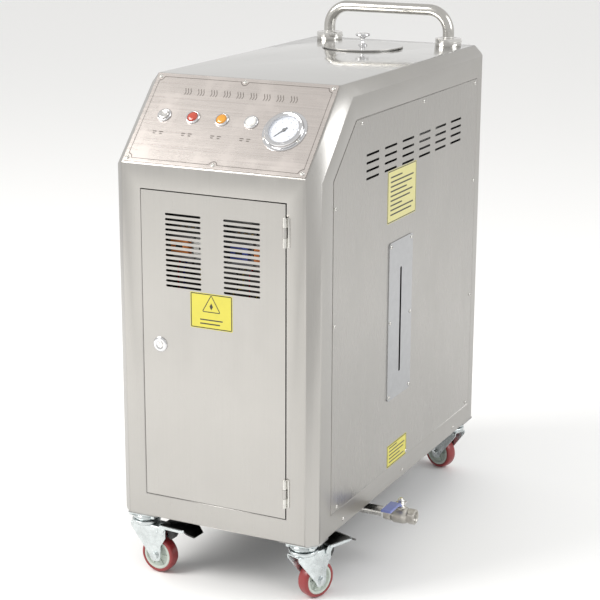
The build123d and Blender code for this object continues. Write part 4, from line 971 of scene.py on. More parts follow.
class BuildControlPlate(Operator):
    """Etch the control plate: its bowed border, steam waves and lamp captions"""

    bl_idname = "cleaner.control_plate"
    bl_label = "Control plate"

    def execute(self, context):
        control = look("control")
        paint(brushed("control sheet", control.plate, 0, 0.27), "control_plate")
        placed, wide, tall = plate_frame()
        w, h, notch = wide - control.inset, tall - control.inset, control.notch
        outline = []
        for x, y, start in ((w, -h, pi), (w, h, -pi / 2), (-w, h, 0), (-w, -h, pi / 2)):
            outline += bow((x, y), notch, start, -pi / 2)
            if y * x > 0:
                outline += bow((0, y), notch * 0.85, 0 if y > 0 else pi, -pi)
        ink = moulded("etched ink", control.ink, 0.5, scuff=0.3)
        parts = [grow("border", path_seed(outline, True), tree(make_strip_tree), ink, placed,
                      width=control.line, height=0.24 * MM)]
        seed = path_seed([(1.7 * MM * sin(k / 2.2), (k - 5) * 1.5 * MM) for k in range(11)])
        stroke = grow("stroke", seed, tree(make_strip_tree), ink, width=1.5 * MM, height=0.24 * MM)
        trio = grow("waves", bmesh.new(), tree(make_row_tree), ink,
                    thing=stroke, count=3, step=(5.6 * MM, 0, 0))
        title = grow("title", bmesh.new(), tree(make_row_tree), ink,
                     thing=trio, count=9, step=(control.title_step, 0, 0))
        title.data.transform(placed @ Matrix.Translation((-4.2 * control.title_step, tall * 0.62, 0)))
        parts.append(title)
        for spare in (stroke, trio):
            bpy.data.objects.remove(spare)
        work = bmesh.new()
        for points in islands("pilot_housings"):
            low, high = extent(points)
            spot = placed.inverted() @ on_slope((low + high) / 2).translation
            for side in (-1, 1):
                at = (spot.x + side * 7 * MM, spot.y - control.caption_drop)
                add_slab(work, placed, oblong(8.5 * MM, 2.0 * MM, 0.8 * MM, at), -0.05 * MM, 0.12 * MM)
                at = (at[0], at[1] - 4.4 * MM)
                add_slab(work, placed, oblong(6.0 * MM, 2.0 * MM, 0.8 * MM, at), -0.05 * MM, 0.12 * MM)
        parts.append(new_piece("captions", work, ink))
        seat(joined("plate_etching", parts), "cabinet", "print_ink")
        return {"FINISHED"}


class BuildLamps(Operator):
    """Turn the pilot lamps' bezels and lenses, and the power button"""

    bl_idname = "cleaner.lamps"
    bl_label = "Lamps and button"

    def execute(self, context):
        control = look("control")
        rim = reach("pilot_housings", GAUGE_SPOT, SLOPE_NORMAL) - PLATE_THICK
        work, spots = bmesh.new(), []
        for points in islands("pilot_housings"):
            low, high = extent(points)
            spot, wide = on_slope((low + high) / 2), (high.x - low.x) / 2
            spots.append(spot)
            ring = [
                (0.74, -0.4), (0.86, -0.4), (0.93, 0.02), (1.0, 0.04), (1.0, 0.35), (0.965, 0.72),
                (0.90, 0.95), (0.83, 1.0), (0.77, 0.96), (0.74, 0.80),
            ]
            add_turned(work, spot, [(r * wide, h * rim) for r, h in ring], 60, closed=True)
        seat(new_piece("lamp_bezels", work, chrome()), "cabinet", "chrome_trim", "pilot_housings")
        for colour in ("red", "amber", "clear"):
            node = "lamp_lens_" + colour
            low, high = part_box(node)
            wide = (high.x - low.x) / 2
            top = reach(node, GAUGE_SPOT, SLOPE_NORMAL) - PLATE_THICK
            spot = on_slope((low + high) / 2)
            profile = [(0, 0), (0.98, 0), (0.98, 0.34), (0.92, 0.38), (0.90, 0.34), (0.87, 0.34),
                       (0.85, 0.40)]
            profile += [(0.84 * cos(a), 0.42 + 0.16 * sin(a)) for a in [k * pi / 16 for k in range(8)]]
            work = bmesh.new()
            add_turned(work, spot, [(r * wide, h * top) for r, h in profile + [(0, 0.58)]], 48)
            lens = new_piece("lens_" + colour, work, lens_finish("lens " + colour, getattr(control, colour)))
            seat(lens, "cabinet", "lens_" + colour, node)
        low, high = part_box("power_button")
        wide = (high.x - low.x) / 2
        top = reach("power_button", GAUGE_SPOT, SLOPE_NORMAL) - PLATE_THICK
        cap = [
            (0, -0.2), (0.97, -0.2), (0.97, 0.74), (0.93, 0.88), (0.84, 0.96), (0.74, 1.0), (0.62, 0.97),
            (0.55, 0.90), (0.30, 0.84), (0.20, 0.84), (0.17, 0.90), (0, 0.91),
        ]
        work = bmesh.new()
        add_turned(work, on_slope((low + high) / 2), [(r * wide, h * top) for r, h in cap], 60)
        seat(new_piece("button_cap", work, bright_steel()), "button", "chrome_trim", "power_button")
        return {"FINISHED"}


class BuildGauge(Operator):
    """Turn the pressure gauge's flange and bezel, print its dial and hang its needle"""

    bl_idname = "cleaner.gauge"
    bl_label = "Pressure gauge"

    def execute(self, context):
        placed = on_slope(GAUGE_SPOT)
        low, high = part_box("gauge_case")
        wide = (high.x - low.x) / 2
        top, face, glass, hand = (
            reach(node, GAUGE_SPOT, SLOPE_NORMAL) - PLATE_THICK
            for node in ("gauge_case", "gauge_dial", "gauge_glass", "gauge_needle")
        )
        dial = (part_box("gauge_dial")[1].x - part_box("gauge_dial")[0].x) / 2
        flange = 2.0 * MM
        case = [
            (dial - 0.4 * MM, 0.2 * MM), (wide, 0), (wide, flange - 0.7 * MM), (wide - 0.8 * MM, flange),
            (wide * 0.875, flange), (wide * 0.862, flange + 1.2 * MM), (wide * 0.855, top - 2.8 * MM),
            (wide * 0.835, top - 0.9 * MM), (wide * 0.80, top), (wide * 0.765, top - 0.3 * MM),
            (wide * 0.735, top - 0.9 * MM), (wide * 0.715, top - 1.2 * MM), (wide * 0.70, glass + 0.1 * MM),
            (dial + 0.1 * MM, glass), (dial + 0.1 * MM, face - 0.6 * MM), (dial - 0.4 * MM, face - 0.6 * MM),
        ]
        work = bmesh.new()
        add_turned(work, placed, case, 96, closed=True)
        deep = -reach("gauge_case", GAUGE_SPOT, -SLOPE_NORMAL) - PLATE_THICK
        tube = [(0, deep), (wide * 0.62, deep), (wide * 0.64, deep + 2 * MM), (wide * 0.64, 0.2 * MM),
                (0, 0.2 * MM)]
        add_turned(work, placed, tube, 60)
        seat(new_piece("gauge_bezel", work, chrome()), "cabinet", "chrome_trim", "gauge_case")

        gauge = look("gauge")
        white = moulded("dial enamel", gauge.dial, 0.45, 300.0, 0.02, scuff=0.02)
        ink = moulded("dial ink", (0.03, 0.035, 0.05), 0.5, scuff=0.2)
        work = bmesh.new()
        add_turned(work, placed, [(0, face - 0.8 * MM), (dial, face - 0.8 * MM), (dial, face), (0, face)], 72)
        sheet_face = new_piece("dial_face", work, white)
        start = pi * 1.5 - (2 * pi - gauge.sweep) / 2 - gauge.sweep
        high_face = placed @ Matrix.Translation((0, 0, face))
        parts = [sheet_face]
        for count, length, width in ((gauge.minor, 0.055, 0.010), (gauge.major * 2 + 1, 0.11, 0.020)):
            ticks = grow(
                "ticks", bmesh.new(), tree(make_scale_tree), ink, high_face, count=count, start=start,
                radius=dial * (0.90 - length / 2), sweep=gauge.sweep, length=dial * length,
                width=dial * width,
            )
            parts.append(ticks)
        work = bmesh.new()
        for k in range(gauge.major + 1):
            angle = start + gauge.sweep * (1 - k / gauge.major)
            spot = Vector((cos(angle), sin(angle), 0)) * dial * 0.64
            add_text(work, high_face @ Matrix.Translation(spot), str(2 * k), dial * 0.17)
        parts.append(new_piece("numerals", work, ink))
        seat(joined("dial", parts), "cabinet", "dial_white", "gauge_dial")

        up = SLOPE_NORMAL.cross(TO_RIGHT)
        flat = [(v.co - GAUGE_SPOT) for v in frame["nodes"]["gauge_needle"].data.vertices]
        tip = max((Vector((p.x, p.dot(up))) for p in flat), key=lambda p: p.length)
        turned = placed @ Matrix.Rotation(Vector((1, 0)).angle_signed(tip) * -1, 4, "Z")
        long, thick = tip.length, 0.5 * MM
        blade = [(-0.34, -0.06), (-0.26, -0.09), (-0.12, -0.07), (0.2, -0.06), (0.92, -0.022), (1.0, 0)]
        blade = [Vector((x, y)) * long for x, y in blade + [(x, -y) for x, y in reversed(blade[:-1])]]
        work = bmesh.new()
        add_slab(work, turned, blade, hand - 1.4 * MM, hand - 1.4 * MM + thick)
        hub = [(0, face + 0.1 * MM), (0.16, face + 0.1 * MM), (0.16, hand - 0.6 * MM), (0.12, hand),
               (0, hand)]
        add_turned(work, turned, [(r * long, h) for r, h in hub], 32)
        black = moulded("needle paint", (0.03, 0.03, 0.035), 0.35, scuff=0.2)
        seat(new_piece("pointer", work, black), "needle", "needle_black", "gauge_needle")

        work = bmesh.new()
        dome = [(0, glass - 1.2 * MM), (dial, glass - 1.2 * MM), (dial, glass - 0.5 * MM),
                (dial * 0.7, glass - 0.2 * MM), (0, glass)]
        add_turned(work, placed, dome, 72)
        seat(new_piece("gauge_window", work, glass_finish()), "cabinet", "glass", "gauge_glass")
        return {"FINISHED"}


class BuildLock(Operator):
    """Turn the cam lock's face and its key plug"""

    bl_idname = "cleaner.lock"
    bl_label = "Cam lock"

    def execute(self, context):
        low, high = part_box("lock_barrel")
        spot, wide = middle("lock_barrel"), (high.x - low.x) / 2
        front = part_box("body_shell")[0].y
        spot.y = front
        placed = basis(spot, TO_FRONT, TO_RIGHT)
        proud, deep, plug = front - low.y, front - high.y, 6.0 * MM
        ring = [
            (plug, deep), (9.3 * MM, deep), (9.3 * MM, 0.05 * MM), (wide, 0.05 * MM), (wide, proud * 0.35),
            (wide * 0.95, proud * 0.72), (wide * 0.84, proud), (wide * 0.62, proud),
            (wide * 0.52, proud * 0.86),
            (plug + 0.9 * MM, proud * 0.72), (plug, proud * 0.60),
        ]
        work = bmesh.new()
        add_turned(work, placed, ring, 64, closed=True)
        seat(new_piece("lock_face", work, chrome()), "door", "chrome_trim", "lock_barrel")
        work = bmesh.new()
        cap = [(0, 0), (plug - 0.1 * MM, 0), (plug - 0.1 * MM, proud * 0.62),
               (plug - 0.6 * MM, proud * 0.74), (0, proud * 0.74)]
        add_turned(work, placed, cap, 40)
        # The keyway is a flat near-black mark: painted shade for the hole.
        outer = bow((0, 0), 4.1 * MM, radians(-40), radians(260), 14)
        inner = bow((0, 0), 2.7 * MM, radians(-40), radians(260), 14)
        level = proud * 0.74
        add_slab(work, placed, [Vector(p) for p in outer + inner[::-1]], level - 0.1 * MM,
                 level + 0.06 * MM, 1)
        plate = new_piece("key_plug", work, bright_steel(), painted_hole_shade())
        seat(plate, "lock", "chrome_trim")
        paint(bright_steel(), "lock_cam")
        return {"FINISHED"}


# ---- stickers ----
def sticker(name, placed, size, ground, marks, body):
    """A printed film with a dark border and plain marks; marks are (outline) lists."""
    labels = look("labels")
    film = moulded(name + " film", ground, 0.38, 240.0, 0.03, 0.3, 0.05)
    ink = moulded("sticker ink", labels.ink, 0.5, scuff=0.25)
    work = bmesh.new()
    add_slab(work, placed, oblong(*size, 2.2 * MM), 0.0, labels.thick, 0, 0.05 * MM)
    top = labels.thick
    border = path_seed(oblong(size[0] - 4 * MM, size[1] - 4 * MM, 1.6 * MM, steps=3), True)
    line = grow("line", border, tree(make_strip_tree), ink, placed @ Matrix.Translation((0, 0, top)),
                width=labels.line, height=0.12 * MM)
    for outline in marks:
        add_slab(work, placed, outline, top, top + 0.06 * MM, 1)
    body_piece = new_piece("print", work, film, ink)
    return seat(joined(name, [body_piece, line]), body, "label_film")


def bars(left, right, top, step, count, ragged):
    """Rows of plain bars, as lines of print, their ends uneven."""
    rows = []
    for k in range(count):
        end = right - (right - left) * ragged[k % len(ragged)]
        high = top - k * step
        at = ((left + end) / 2, high - step * 0.2)
        rows.append(oblong(end - left, step * 0.32, step * 0.1, at, 2))
    return rows


class BuildStickers(Operator):
    """Print the door's and the side panel's plain stickers"""

    bl_idname = "cleaner.stickers"
    bl_label = "Stickers"

    def execute(self, context):
        labels = look("labels")
        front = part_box("body_shell")[0].y
        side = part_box("side_panel_right")[1].x
        wide, tall = labels.door_width, labels.door_height
        tri = 0.27 * tall
        centre = Vector((0, tall * 0.14))
        marks = []
        corners = [centre + Vector((cos(a), sin(a))) * tri * 1.25 for a in (pi / 2, pi * 7 / 6, pi * 11 / 6)]
        rim = rounded([tuple(c) for c in corners], 2.2 * MM, 3)
        inner = inset(rim, 1.7 * MM)
        for k in range(len(rim)):
            n = (k + 1) % len(rim)
            marks.append([rim[k], rim[n], inner[n], inner[k]])
        marks.append([centre + Vector(p) * tri for p in ((-0.2, 0), (0, -0.36), (0.2, 0), (0, 0.36))])
        marks += bars(-wide * 0.27, wide * 0.27, -tall * 0.22, tall * 0.11, 2, (0, 0.12))
        placed = basis((labels.door_x, front, labels.door_z), TO_FRONT, TO_RIGHT)
        sticker("door_sticker", placed, (wide, tall), labels.yellow, marks, "door")
        for name, ground, y, z, wide, tall, rows in (
            ("side_sticker_upper", labels.faded, -29 * MM, 742 * MM, 146 * MM, 106 * MM, 9),
            ("side_sticker_lower", labels.yellow, -31 * MM, 195.5 * MM, 102 * MM, 48 * MM, 5),
        ):
            placed = basis((side, y, z), TO_RIGHT, TO_REAR)
            step = tall * 0.8 / rows
            marks = bars(-wide * 0.4, wide * 0.4, tall * 0.38, step, rows, (0.5, 0, 0.08, 0.3, 0.04, 0.15))
            sticker(name, placed, (wide, tall), ground, marks, "cabinet")
        return {"FINISHED"}


# ---- screws ----
def head_places(node, way_at):
    """Where a node's screws seat, which way they face and how wide they are."""
    places = []
    for points in islands(node):
        low, high = extent(points)
        centre = (low + high) / 2
        way = way_at(centre)
        top = max(p.dot(way) for p in points)
        width = high.x - low.x
        if abs(way.x) + abs(way.y) > 0.99:
            width = min(high.z - low.z, max(high.x - low.x, high.y - low.y))
        places.append((centre + (top - 0.262 * width - centre.dot(way)) * way, way, width))
    return places


def outward(centre):
    """Which wall a cabinet screw is in."""
    if centre.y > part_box("rear_panel")[0].y - 2 * MM and abs(centre.x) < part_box("rear_panel")[1].x:
        return TO_REAR
    return TO_RIGHT if centre.x > 0 else -TO_RIGHT


class BuildScrews(Operator):
    """Set a button-head screw at every screw of the panels and the control face"""

    bl_idname = "cleaner.screws"
    bl_label = "Screws"

    def execute(self, context):
        dome = [
            (0, -0.12), (0.5, -0.12), (0.5, 0.03), (0.485, 0.09), (0.42, 0.17), (0.33, 0.225), (0.24, 0.255),
            (0.19, 0.262), (0.17, 0.25, "hex"), (0.16, 0.10, "hex"), (0, 0.08),
        ]
        work = bmesh.new()
        add_turned(work, Matrix.Identity(4), dome, 24)
        head = new_piece("head", work)
        for name, node, way_at in (
            ("panel_screw_heads", "panel_screws", outward),
            ("plate_screw_heads", "control_panel_screws", lambda centre: SLOPE_NORMAL),
        ):
            seed = head_seed(head_places(node, way_at))
            heads = grow(name, seed, tree(make_screws_tree), screw_steel(), head=head)
            seat(heads, "cabinet", "screw_steel", node)
        bpy.data.objects.remove(head)
        return {"FINISHED"}


# ---- casters ----
def corner_frame(corner):
    """The floor under a caster's kingpin, X towards its wheel; its trail and axle height."""
    pin, _ = joint("swivel_" + corner)
    axle, _ = joint("roll_" + corner)
    way = Vector((axle.x - pin.x, axle.y - pin.y, 0))
    return basis((pin.x, pin.y, 0), UP, way), way.length, axle.z


def mm(points):
    """Points in millimetres as metres; words pass through."""
    return [tuple(v if isinstance(v, str) else v * MM for v in point) for point in points]


SIDEWAYS = Matrix(((1, 0, 0, 0), (0, 0, -1, 0), (0, 1, 0, 0), (0, 0, 0, 1)))
ALONG = Matrix(((0, 0, 1, 0), (1, 0, 0, 0), (0, 1, 0, 0), (0, 0, 0, 1)))


def solid(name, placed, outline, low, high, *materials, edge=0.0):
    work = bmesh.new()
    add_slab(work, placed, outline, low, high, 0, edge)
    return new_piece(name, work, *materials)


class BuildCasters(Operator):
    """Press the caster forks, turn their races and fit plates, bolts and rivets"""

    bl_idname = "cleaner.casters"
    bl_label = "Casters"

    def execute(self, context):
        plates = bmesh.new()
        leg, press = 17.5 * MM, look("casters").press
        for corner in CORNERS:
            placed, trail, axle = corner_frame(corner)
            crown = 100.8 * MM
            channel = [
                (-leg, 20 * MM, 0), (press - leg, 20 * MM, 0), (press - leg, crown - press, 1.4 * MM),
                (leg - press, crown - press, 1.4 * MM), (leg - press, 20 * MM, 0), (leg, 20 * MM, 0),
                (leg, crown, 4 * MM), (-leg, crown, 4 * MM),
            ]
            fork = solid("fork", placed @ ALONG, rounded(channel, 0, 4), -32 * MM, 60 * MM, zinc())
            cheek = mm([(-27, 102, 0), (-27, 92, 10), (17.5, 36, 8), (21, 25.3, 9), (43, 25.3, 11),
                        (44.5, 60, 9),
                        (56, 78, 6), (56, 102, 0)])
            cutter = solid("cheek", placed @ SIDEWAYS, rounded(cheek, 0, 8), -leg - MM, leg + MM)
            carve(fork, [cutter], "INTERSECT")
            bevelled(fork, 0.45 * MM, 2, 50)
            work = bmesh.new()
            race = mm([(0, 99.5), (10, 99.5), (19, 97.8), (24, 98.6), (27.4, 101), (28.8, 104), (28.8, 106.4),
                       (27.8, 107.8), (25, 108.3), (0, 108.3)])
            add_turned(work, placed, race, 72)
            nut = mm([(0, 92), (6.4, 92), (7.6, 92.8, "hex"), (7.6, 98, "hex"), (0, 98)])
            add_turned(work, placed, nut, 24)
            head = mm([(0, 0), (8.6, 0), (8.6, 1.0), (7.0, 1.2), (7.4, 1.5, "hex"), (7.4, 4.6, "hex"),
                       (6.2, 5.2), (0, 5.2)])
            rivet = mm([(0, -0.2), (4.4, -0.2), (4.2, 0.9), (3.2, 1.9), (1.4, 2.4), (0, 2.5)])
            for side in (-1, 1):
                out = placed.to_3x3() @ Vector((0, side, 0))
                def spot(x, z, proud=0.0):
                    return basis(placed @ Vector((x, side * (leg + proud), z)), out, UP)
                add_turned(work, spot(trail, axle), head, 24)
                add_turned(work, spot(46 * MM, 94.5 * MM), [(r * 0.85, h) for r, h in rivet], 24)
                for x, z in ((36, 88), (49.5, 84)):
                    add_turned(work, spot(x * MM, z * MM), [(r * 0.55, h * 0.5) for r, h in rivet], 20)
            bolt = mm([(0, -17.4), (4.1, -17.4), (4.1, 17.4), (0, 17.4)])
            add_turned(work, placed @ Matrix.Translation((trail, 0, axle)) @ SIDEWAYS, bolt, 24)
            fork = joined("fork_" + corner, [fork, new_piece("race", work, zinc())])
            seat(fork, "caster_" + corner, "zinc", "caster_fork_" + corner)

            base = Matrix.Translation(placed.translation)
            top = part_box("caster_plates")[1].z
            add_slab(plates, base, oblong(70 * MM, 54 * MM, 24 * MM), top - 3 * MM, top, 0, 0.5 * MM)
            upper = mm([(0, 109), (22.6, 109), (25.2, 110.2), (26.3, 112.5), (25.6, 115.5), (23.2, 118.8),
                        (23.4, 121.2), (0, 121.2)])
            add_turned(plates, base, upper, 64)
            for x in (-25, 25):
                for y in (-15, 15):
                    screw = base @ Matrix.Translation((x * MM, y * MM, 0))
                    stud = mm([(0, 114.8), (5.4, 114.8), (6.2, 115.6, "hex"), (6.2, 120, "hex"),
                               (7.2, 120.2), (7.2, 121.2), (0, 121.2)])
                    add_turned(plates, screw, stud, 24)
        seat(new_piece("top_plates", plates, zinc()), "cabinet", "zinc", "caster_plates")
        return {"FINISHED"}


class BuildWheels(Operator):
    """Turn the wheels' moulded cores and cast their tyres"""

    bl_idname = "cleaner.wheels"
    bl_label = "Wheels"

    def execute(self, context):
        casters = look("casters")
        grey = moulded("nylon core", casters.core, 0.45, 500.0, 0.06)
        red = moulded("tyre", casters.tread, 0.33, 380.0, 0.05, 0.25, 0.14)
        half = mm([(4.3, 12.6), (9.5, 12.6), (10.2, 12.2), (11.2, 9.5), (12.4, 7.6), (16.6, 7.0),
                   (17.4, 7.9), (18.6, 7.9),
                   (19.3, 7.0), (22.4, 7.4), (24.2, 9.4), (24.8, 11.2), (25.6, 11.8), (29.2, 11.8),
                   (30.0, 11.2)])
        core = [(r, -h) for r, h in half] + half[::-1]
        half = mm([(29.9, 11.4), (30.6, 12.3), (32.0, 12.6), (34.2, 12.2), (36.0, 10.6), (37.0, 7.6),
                   (37.4, 4.0), (37.5, 1.2)])
        tyre = [(r, -h) for r, h in half] + half[::-1]
        for corner in CORNERS:
            placed, trail, axle = corner_frame(corner)
            hub = placed @ Matrix.Translation((trail, 0, axle)) @ SIDEWAYS
            work = bmesh.new()
            add_turned(work, hub, core, 72, closed=True)
            for k in range(6):
                rib = hub @ Matrix.Rotation(k * pi / 3, 4, "Z")
                for side in (-1, 1):
                    low, high = sorted((side * 5 * MM, side * 9.6 * MM))
                    add_block(work, rib, (11.5 * MM, -0.9 * MM, low), (23.6 * MM, 0.9 * MM, high))
            seat(new_piece("core_" + corner, work, grey), "wheel_" + corner, "wheel_grey",
                 "wheel_core_" + corner)
            work = bmesh.new()
            add_turned(work, hub, tyre, 96, closed=True)
            seat(new_piece("tyre_" + corner, work, red), "wheel_" + corner, "tread_red",
                 "wheel_tread_" + corner)
        return {"FINISHED"}


class BuildPedals(Operator):
    """Press the brake pedals and their shoes"""

    bl_idname = "cleaner.pedals"
    bl_label = "Brake pedals"

    def execute(self, context):
        # The pedal plates are painted near black: painted shade for the shade under the cabinet that darkens
        # these zinc pedals.
        dark = plated("pedal steel", (0.085, 0.085, 0.082), 0.34, 0.25, 500.0, 0.06)
        rubber = moulded("brake shoe", (0.03, 0.03, 0.03), 0.6)
        for corner in CORNERS:
            placed = corner_frame(corner)[0]
            side = placed @ SIDEWAYS
            tread = mm([(49, 106.6, 0), (100, 106.6, 22), (124, 94, 1.6), (126.8, 95.6, 0.8),
                        (102, 109.4, 24), (49, 109.4, 0)])
            plate = solid("plate", side, rounded(tread, 0, 6), -24 * MM, 24 * MM, dark, zinc())
            plan = mm([(48, -23.8, 3), (112, -23.8, 12), (128, -14, 10), (128, 14, 10), (112, 23.8, 12),
                       (48, 23.8, 3)])
            carve(plate, [solid("plan", placed, rounded(plan, 0, 6), 80 * MM, 120 * MM)], "INTERSECT")
            bevelled(plate, 0.4 * MM, 2, 50)
            work = bmesh.new()
            for edge in (-1, 1):
                low, high = sorted((edge * 21.4 * MM, edge * 23.8 * MM))
                flange = mm([(49.5, 101.4, 2), (98, 101.4, 4), (108, 104.5, 2), (104, 108.6, 1),
                             (49.5, 108.6, 1)])
                add_slab(work, side, rounded(flange, 0, 4), low, high, 1, 0.4 * MM)
                low, high = sorted((edge * 18.4 * MM, edge * 20.8 * MM))
                ear = mm([(41.5, 89.5, 4), (51, 89.5, 4), (60, 104, 5), (62, 107.5, 0), (46, 107.5, 6),
                          (41.5, 99, 4)])
                add_slab(work, side, rounded(ear, 0, 5), low, high, 1, 0.35 * MM)
            add_block(work, placed, (49.5 * MM, -20.6 * MM, 104 * MM), (51.9 * MM, 20.6 * MM, 108 * MM), 1)
            ears = new_piece("ears", work, dark, zinc())
            shoe = mm([(58, 78, 3), (66, 74.6, 4), (72, 86, 3), (72, 107, 0), (60, 107, 0), (57, 90, 3)])
            shoe = solid("shoe", side, rounded(shoe, 0, 4), -9 * MM, 9 * MM, rubber, edge=0.6 * MM)
            pedal = joined("pedal_" + corner, [plate, ears, shoe])
            seat(pedal, "pedal_" + corner, "pedal_black", "brake_pedal_" + corner)
        return {"FINISHED"}


# ---- drain, steam outlet and gland ----
class BuildDrain(Operator):
    """Turn the drain valve, its stem and its sleeved lever"""

    bl_idname = "cleaner.drain"
    bl_label = "Drain valve"

    def execute(self, context):
        drain = look("drain")
        cast = plated("cast steel", drain.cast, 0.36, 0.12, 520.0, 0.14)
        low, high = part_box("drain_valve_body")
        stem, _ = joint("drain_turn")
        bore = basis((low.x, stem.y, stem.z), TO_RIGHT, UP)
        long = (high.x - low.x) / MM
        body = mm([
            (7.5, 0), (14.6, 0), (17.0, 1.4, "hex"), (17.0, 12.6, "hex"), (14.6, 14), (14.4, 15),
            (16.0, 17), (17.3, 20.5),
            (17.5, 24), (17.5, 40), (17.0, 43.5), (15.4, 47), (14.4, 48.6), (14.4, 50.4), (17.2, 52.4, "hex"),
            (17.2, long - 3, "hex"), (15.6, long - 0.9), (14.2, long), (11.6, long), (10.6, long - 1),
        ])
        for turn in range(6):
            body += mm([(10.6, long - 2.0 - turn * 1.9), (9.9, long - 2.9 - turn * 1.9)])
        body += mm([(10.2, long - 14), (7.5, long - 14)])
        work = bmesh.new()
        add_turned(work, bore, body, 72, closed=True)
        foot = Matrix.Translation((stem.x, stem.y, 0))
        level, top = stem.z / MM, high.z / MM
        tower = mm([(0, level + 10), (10.6, level + 10), (10.6, top - 5), (9.6, top - 3.6), (9.0, top - 3.4),
                    (8.8, top - 0.4, "hex"), (8.0, top, "hex"), (0, top)])
        add_turned(work, foot, tower, 48)
        lug = mm([(-4, level + 12), (4, level + 12), (4, top - 0.5), (-4, top - 0.5)])
        add_slab(work, foot @ Matrix.Translation((0, 9 * MM, 0)) @ SIDEWAYS, [Vector(p) for p in lug],
                 -3 * MM, 3 * MM, 0, 0.6 * MM)
        seat(new_piece("valve_body", work, cast), "cabinet", "valve_steel", "drain_valve_body")
        work = bmesh.new()
        wrap = mm([(8.4, -5), (11.4, -5), (12.0, -3.8), (11.6, -2.6), (12.1, -1.4), (11.8, 0.2), (8.4, 0.2)])
        add_turned(work, bore, wrap, 48, closed=True)
        tape = moulded("sealing tape", drain.tape, 0.55, 600.0, 0.2)
        seat(new_piece("pipe_tape", work, tape), "cabinet", "gland_plastic")
        paint(plated("pipe steel", (0.60, 0.59, 0.56), 0.28, 0.10, streak=0), "drain_pipe")

        end = (stem.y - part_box("drain_lever")[0].y) / MM
        z1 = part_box("drain_ball")[1].z / MM - 10
        z0 = z1 + 9
        side = basis((stem.x, stem.y, 0), -TO_RIGHT, TO_FRONT)
        bar = mm([(-11, z1, 1), (18, z1, 6), (30, z0, 6), (end - 2, z0, 1), (end - 2, z0 + 3, 1),
                  (29, z0 + 3, 6),
                  (17, z1 + 3, 6), (-11, z1 + 3, 1)])
        steel = solid("bar", side, rounded(bar, 0, 4), -9.5 * MM, 9.5 * MM, bright_steel(), edge=0.3 * MM)
        cover = mm([(21.5, z1 + 0.6, 1), (30.8, z0 - 1.3, 6), (end, z0 - 1.3, 2.4), (end + 1, z0 + 4.3, 2.4),
                    (28.2, z0 + 4.3, 5), (18.6, z1 + 5.0, 1)])
        vinyl = moulded("vinyl sleeve", drain.sleeve, 0.36, 420.0, 0.05, 0.2)
        sleeve = solid("sleeve", side, rounded(cover, 0, 5), -11 * MM, 11 * MM, vinyl, edge=1.2 * MM)
        work = bmesh.new()
        z2 = z1 + 3
        nut = mm([(0, z2 - 4.5), (5, z2 - 4.5), (5, z2), (8.4, z2), (8.4, z2 + 0.9), (6.6, z2 + 1.0),
                  (7.3, z2 + 1.5, "hex"),
                  (7.3, z2 + 5.4, "hex"), (5.8, z2 + 6.2), (3.9, z2 + 6.2), (3.9, z2 + 8.2),
                  (3.3, z2 + 8.8), (0, z2 + 8.8)])
        add_turned(work, foot, nut, 36)
        lever = joined("valve_lever", [steel, sleeve, new_piece("nut", work, bright_steel())])
        seat(lever, "drain_handle", "lever_blue", "drain_lever")
        paint(chrome(), "drain_ball")
        return {"FINISHED"}


class BuildRearFittings(Operator):
    """Turn the barbed steam outlet and the ribbed cable gland"""

    bl_idname = "cleaner.rear_fittings"
    bl_label = "Rear fittings"

    def execute(self, context):
        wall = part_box("rear_panel")[1].y
        spot = middle("steam_outlet")
        placed = basis((spot.x, wall, spot.z), TO_REAR, UP)
        shape = [(6, -10), (10.8, -10), (10.8, 0), (13.5, 0.1), (15.9, 1, "hex"), (15.9, 8.6, "hex"),
                 (13.2, 10), (9.4, 10.6), (8.2, 11.4)]
        for barb in range(4):
            shape += [(8.2, 12 + barb * 5.2), (9.0, 12.6 + barb * 5.2), (8.0, 16.6 + barb * 5.2)]
        shape += [(7.4, 34), (6, 34)]
        work = bmesh.new()
        add_turned(work, placed, mm(shape), 60, closed=True)
        seat(new_piece("steam_nipple", work, bright_steel()), "cabinet", "pipe_steel", "steam_outlet")
        spot = middle("cable_gland")
        placed = basis((spot.x, wall, spot.z), TO_REAR, UP)
        black = moulded("gland nylon", (0.022, 0.022, 0.024), 0.42)
        work = bmesh.new()
        shape = [(8.2, -10), (9.8, -10), (9.8, 0), (12, 0), (13.9, 0.8, "hex"), (13.9, 7.2, "hex"),
                 (12.2, 8), (12.2, 9.4),
                 (12.4, 10), (12.2, 15.5), (11.2, 19), (9.2, 21.4), (7.6, 22), (7.0, 21.2), (8.2, 18)]
        add_turned(work, placed, mm(shape), 60, closed=True)
        for k in range(12):
            rib = placed @ Matrix.Rotation(k * pi / 6, 4, "Z")
            add_block(work, rib, mm([(11.6, -0.9, 9.6)])[0], mm([(12.9, 0.9, 16)])[0])
        seal = mm([(5, 2), (8.3, 2), (8.3, 18.4), (7.4, 20.4), (6.0, 20.6), (5, 19.6)])
        add_turned(work, placed, seal, 40, 1, closed=True)
        gland = new_piece("gland", work, black, moulded("seal rubber", (0.05, 0.05, 0.05), 0.7))
        seat(gland, "cabinet", "gland_plastic", "cable_gland")
        return {"FINISHED"}


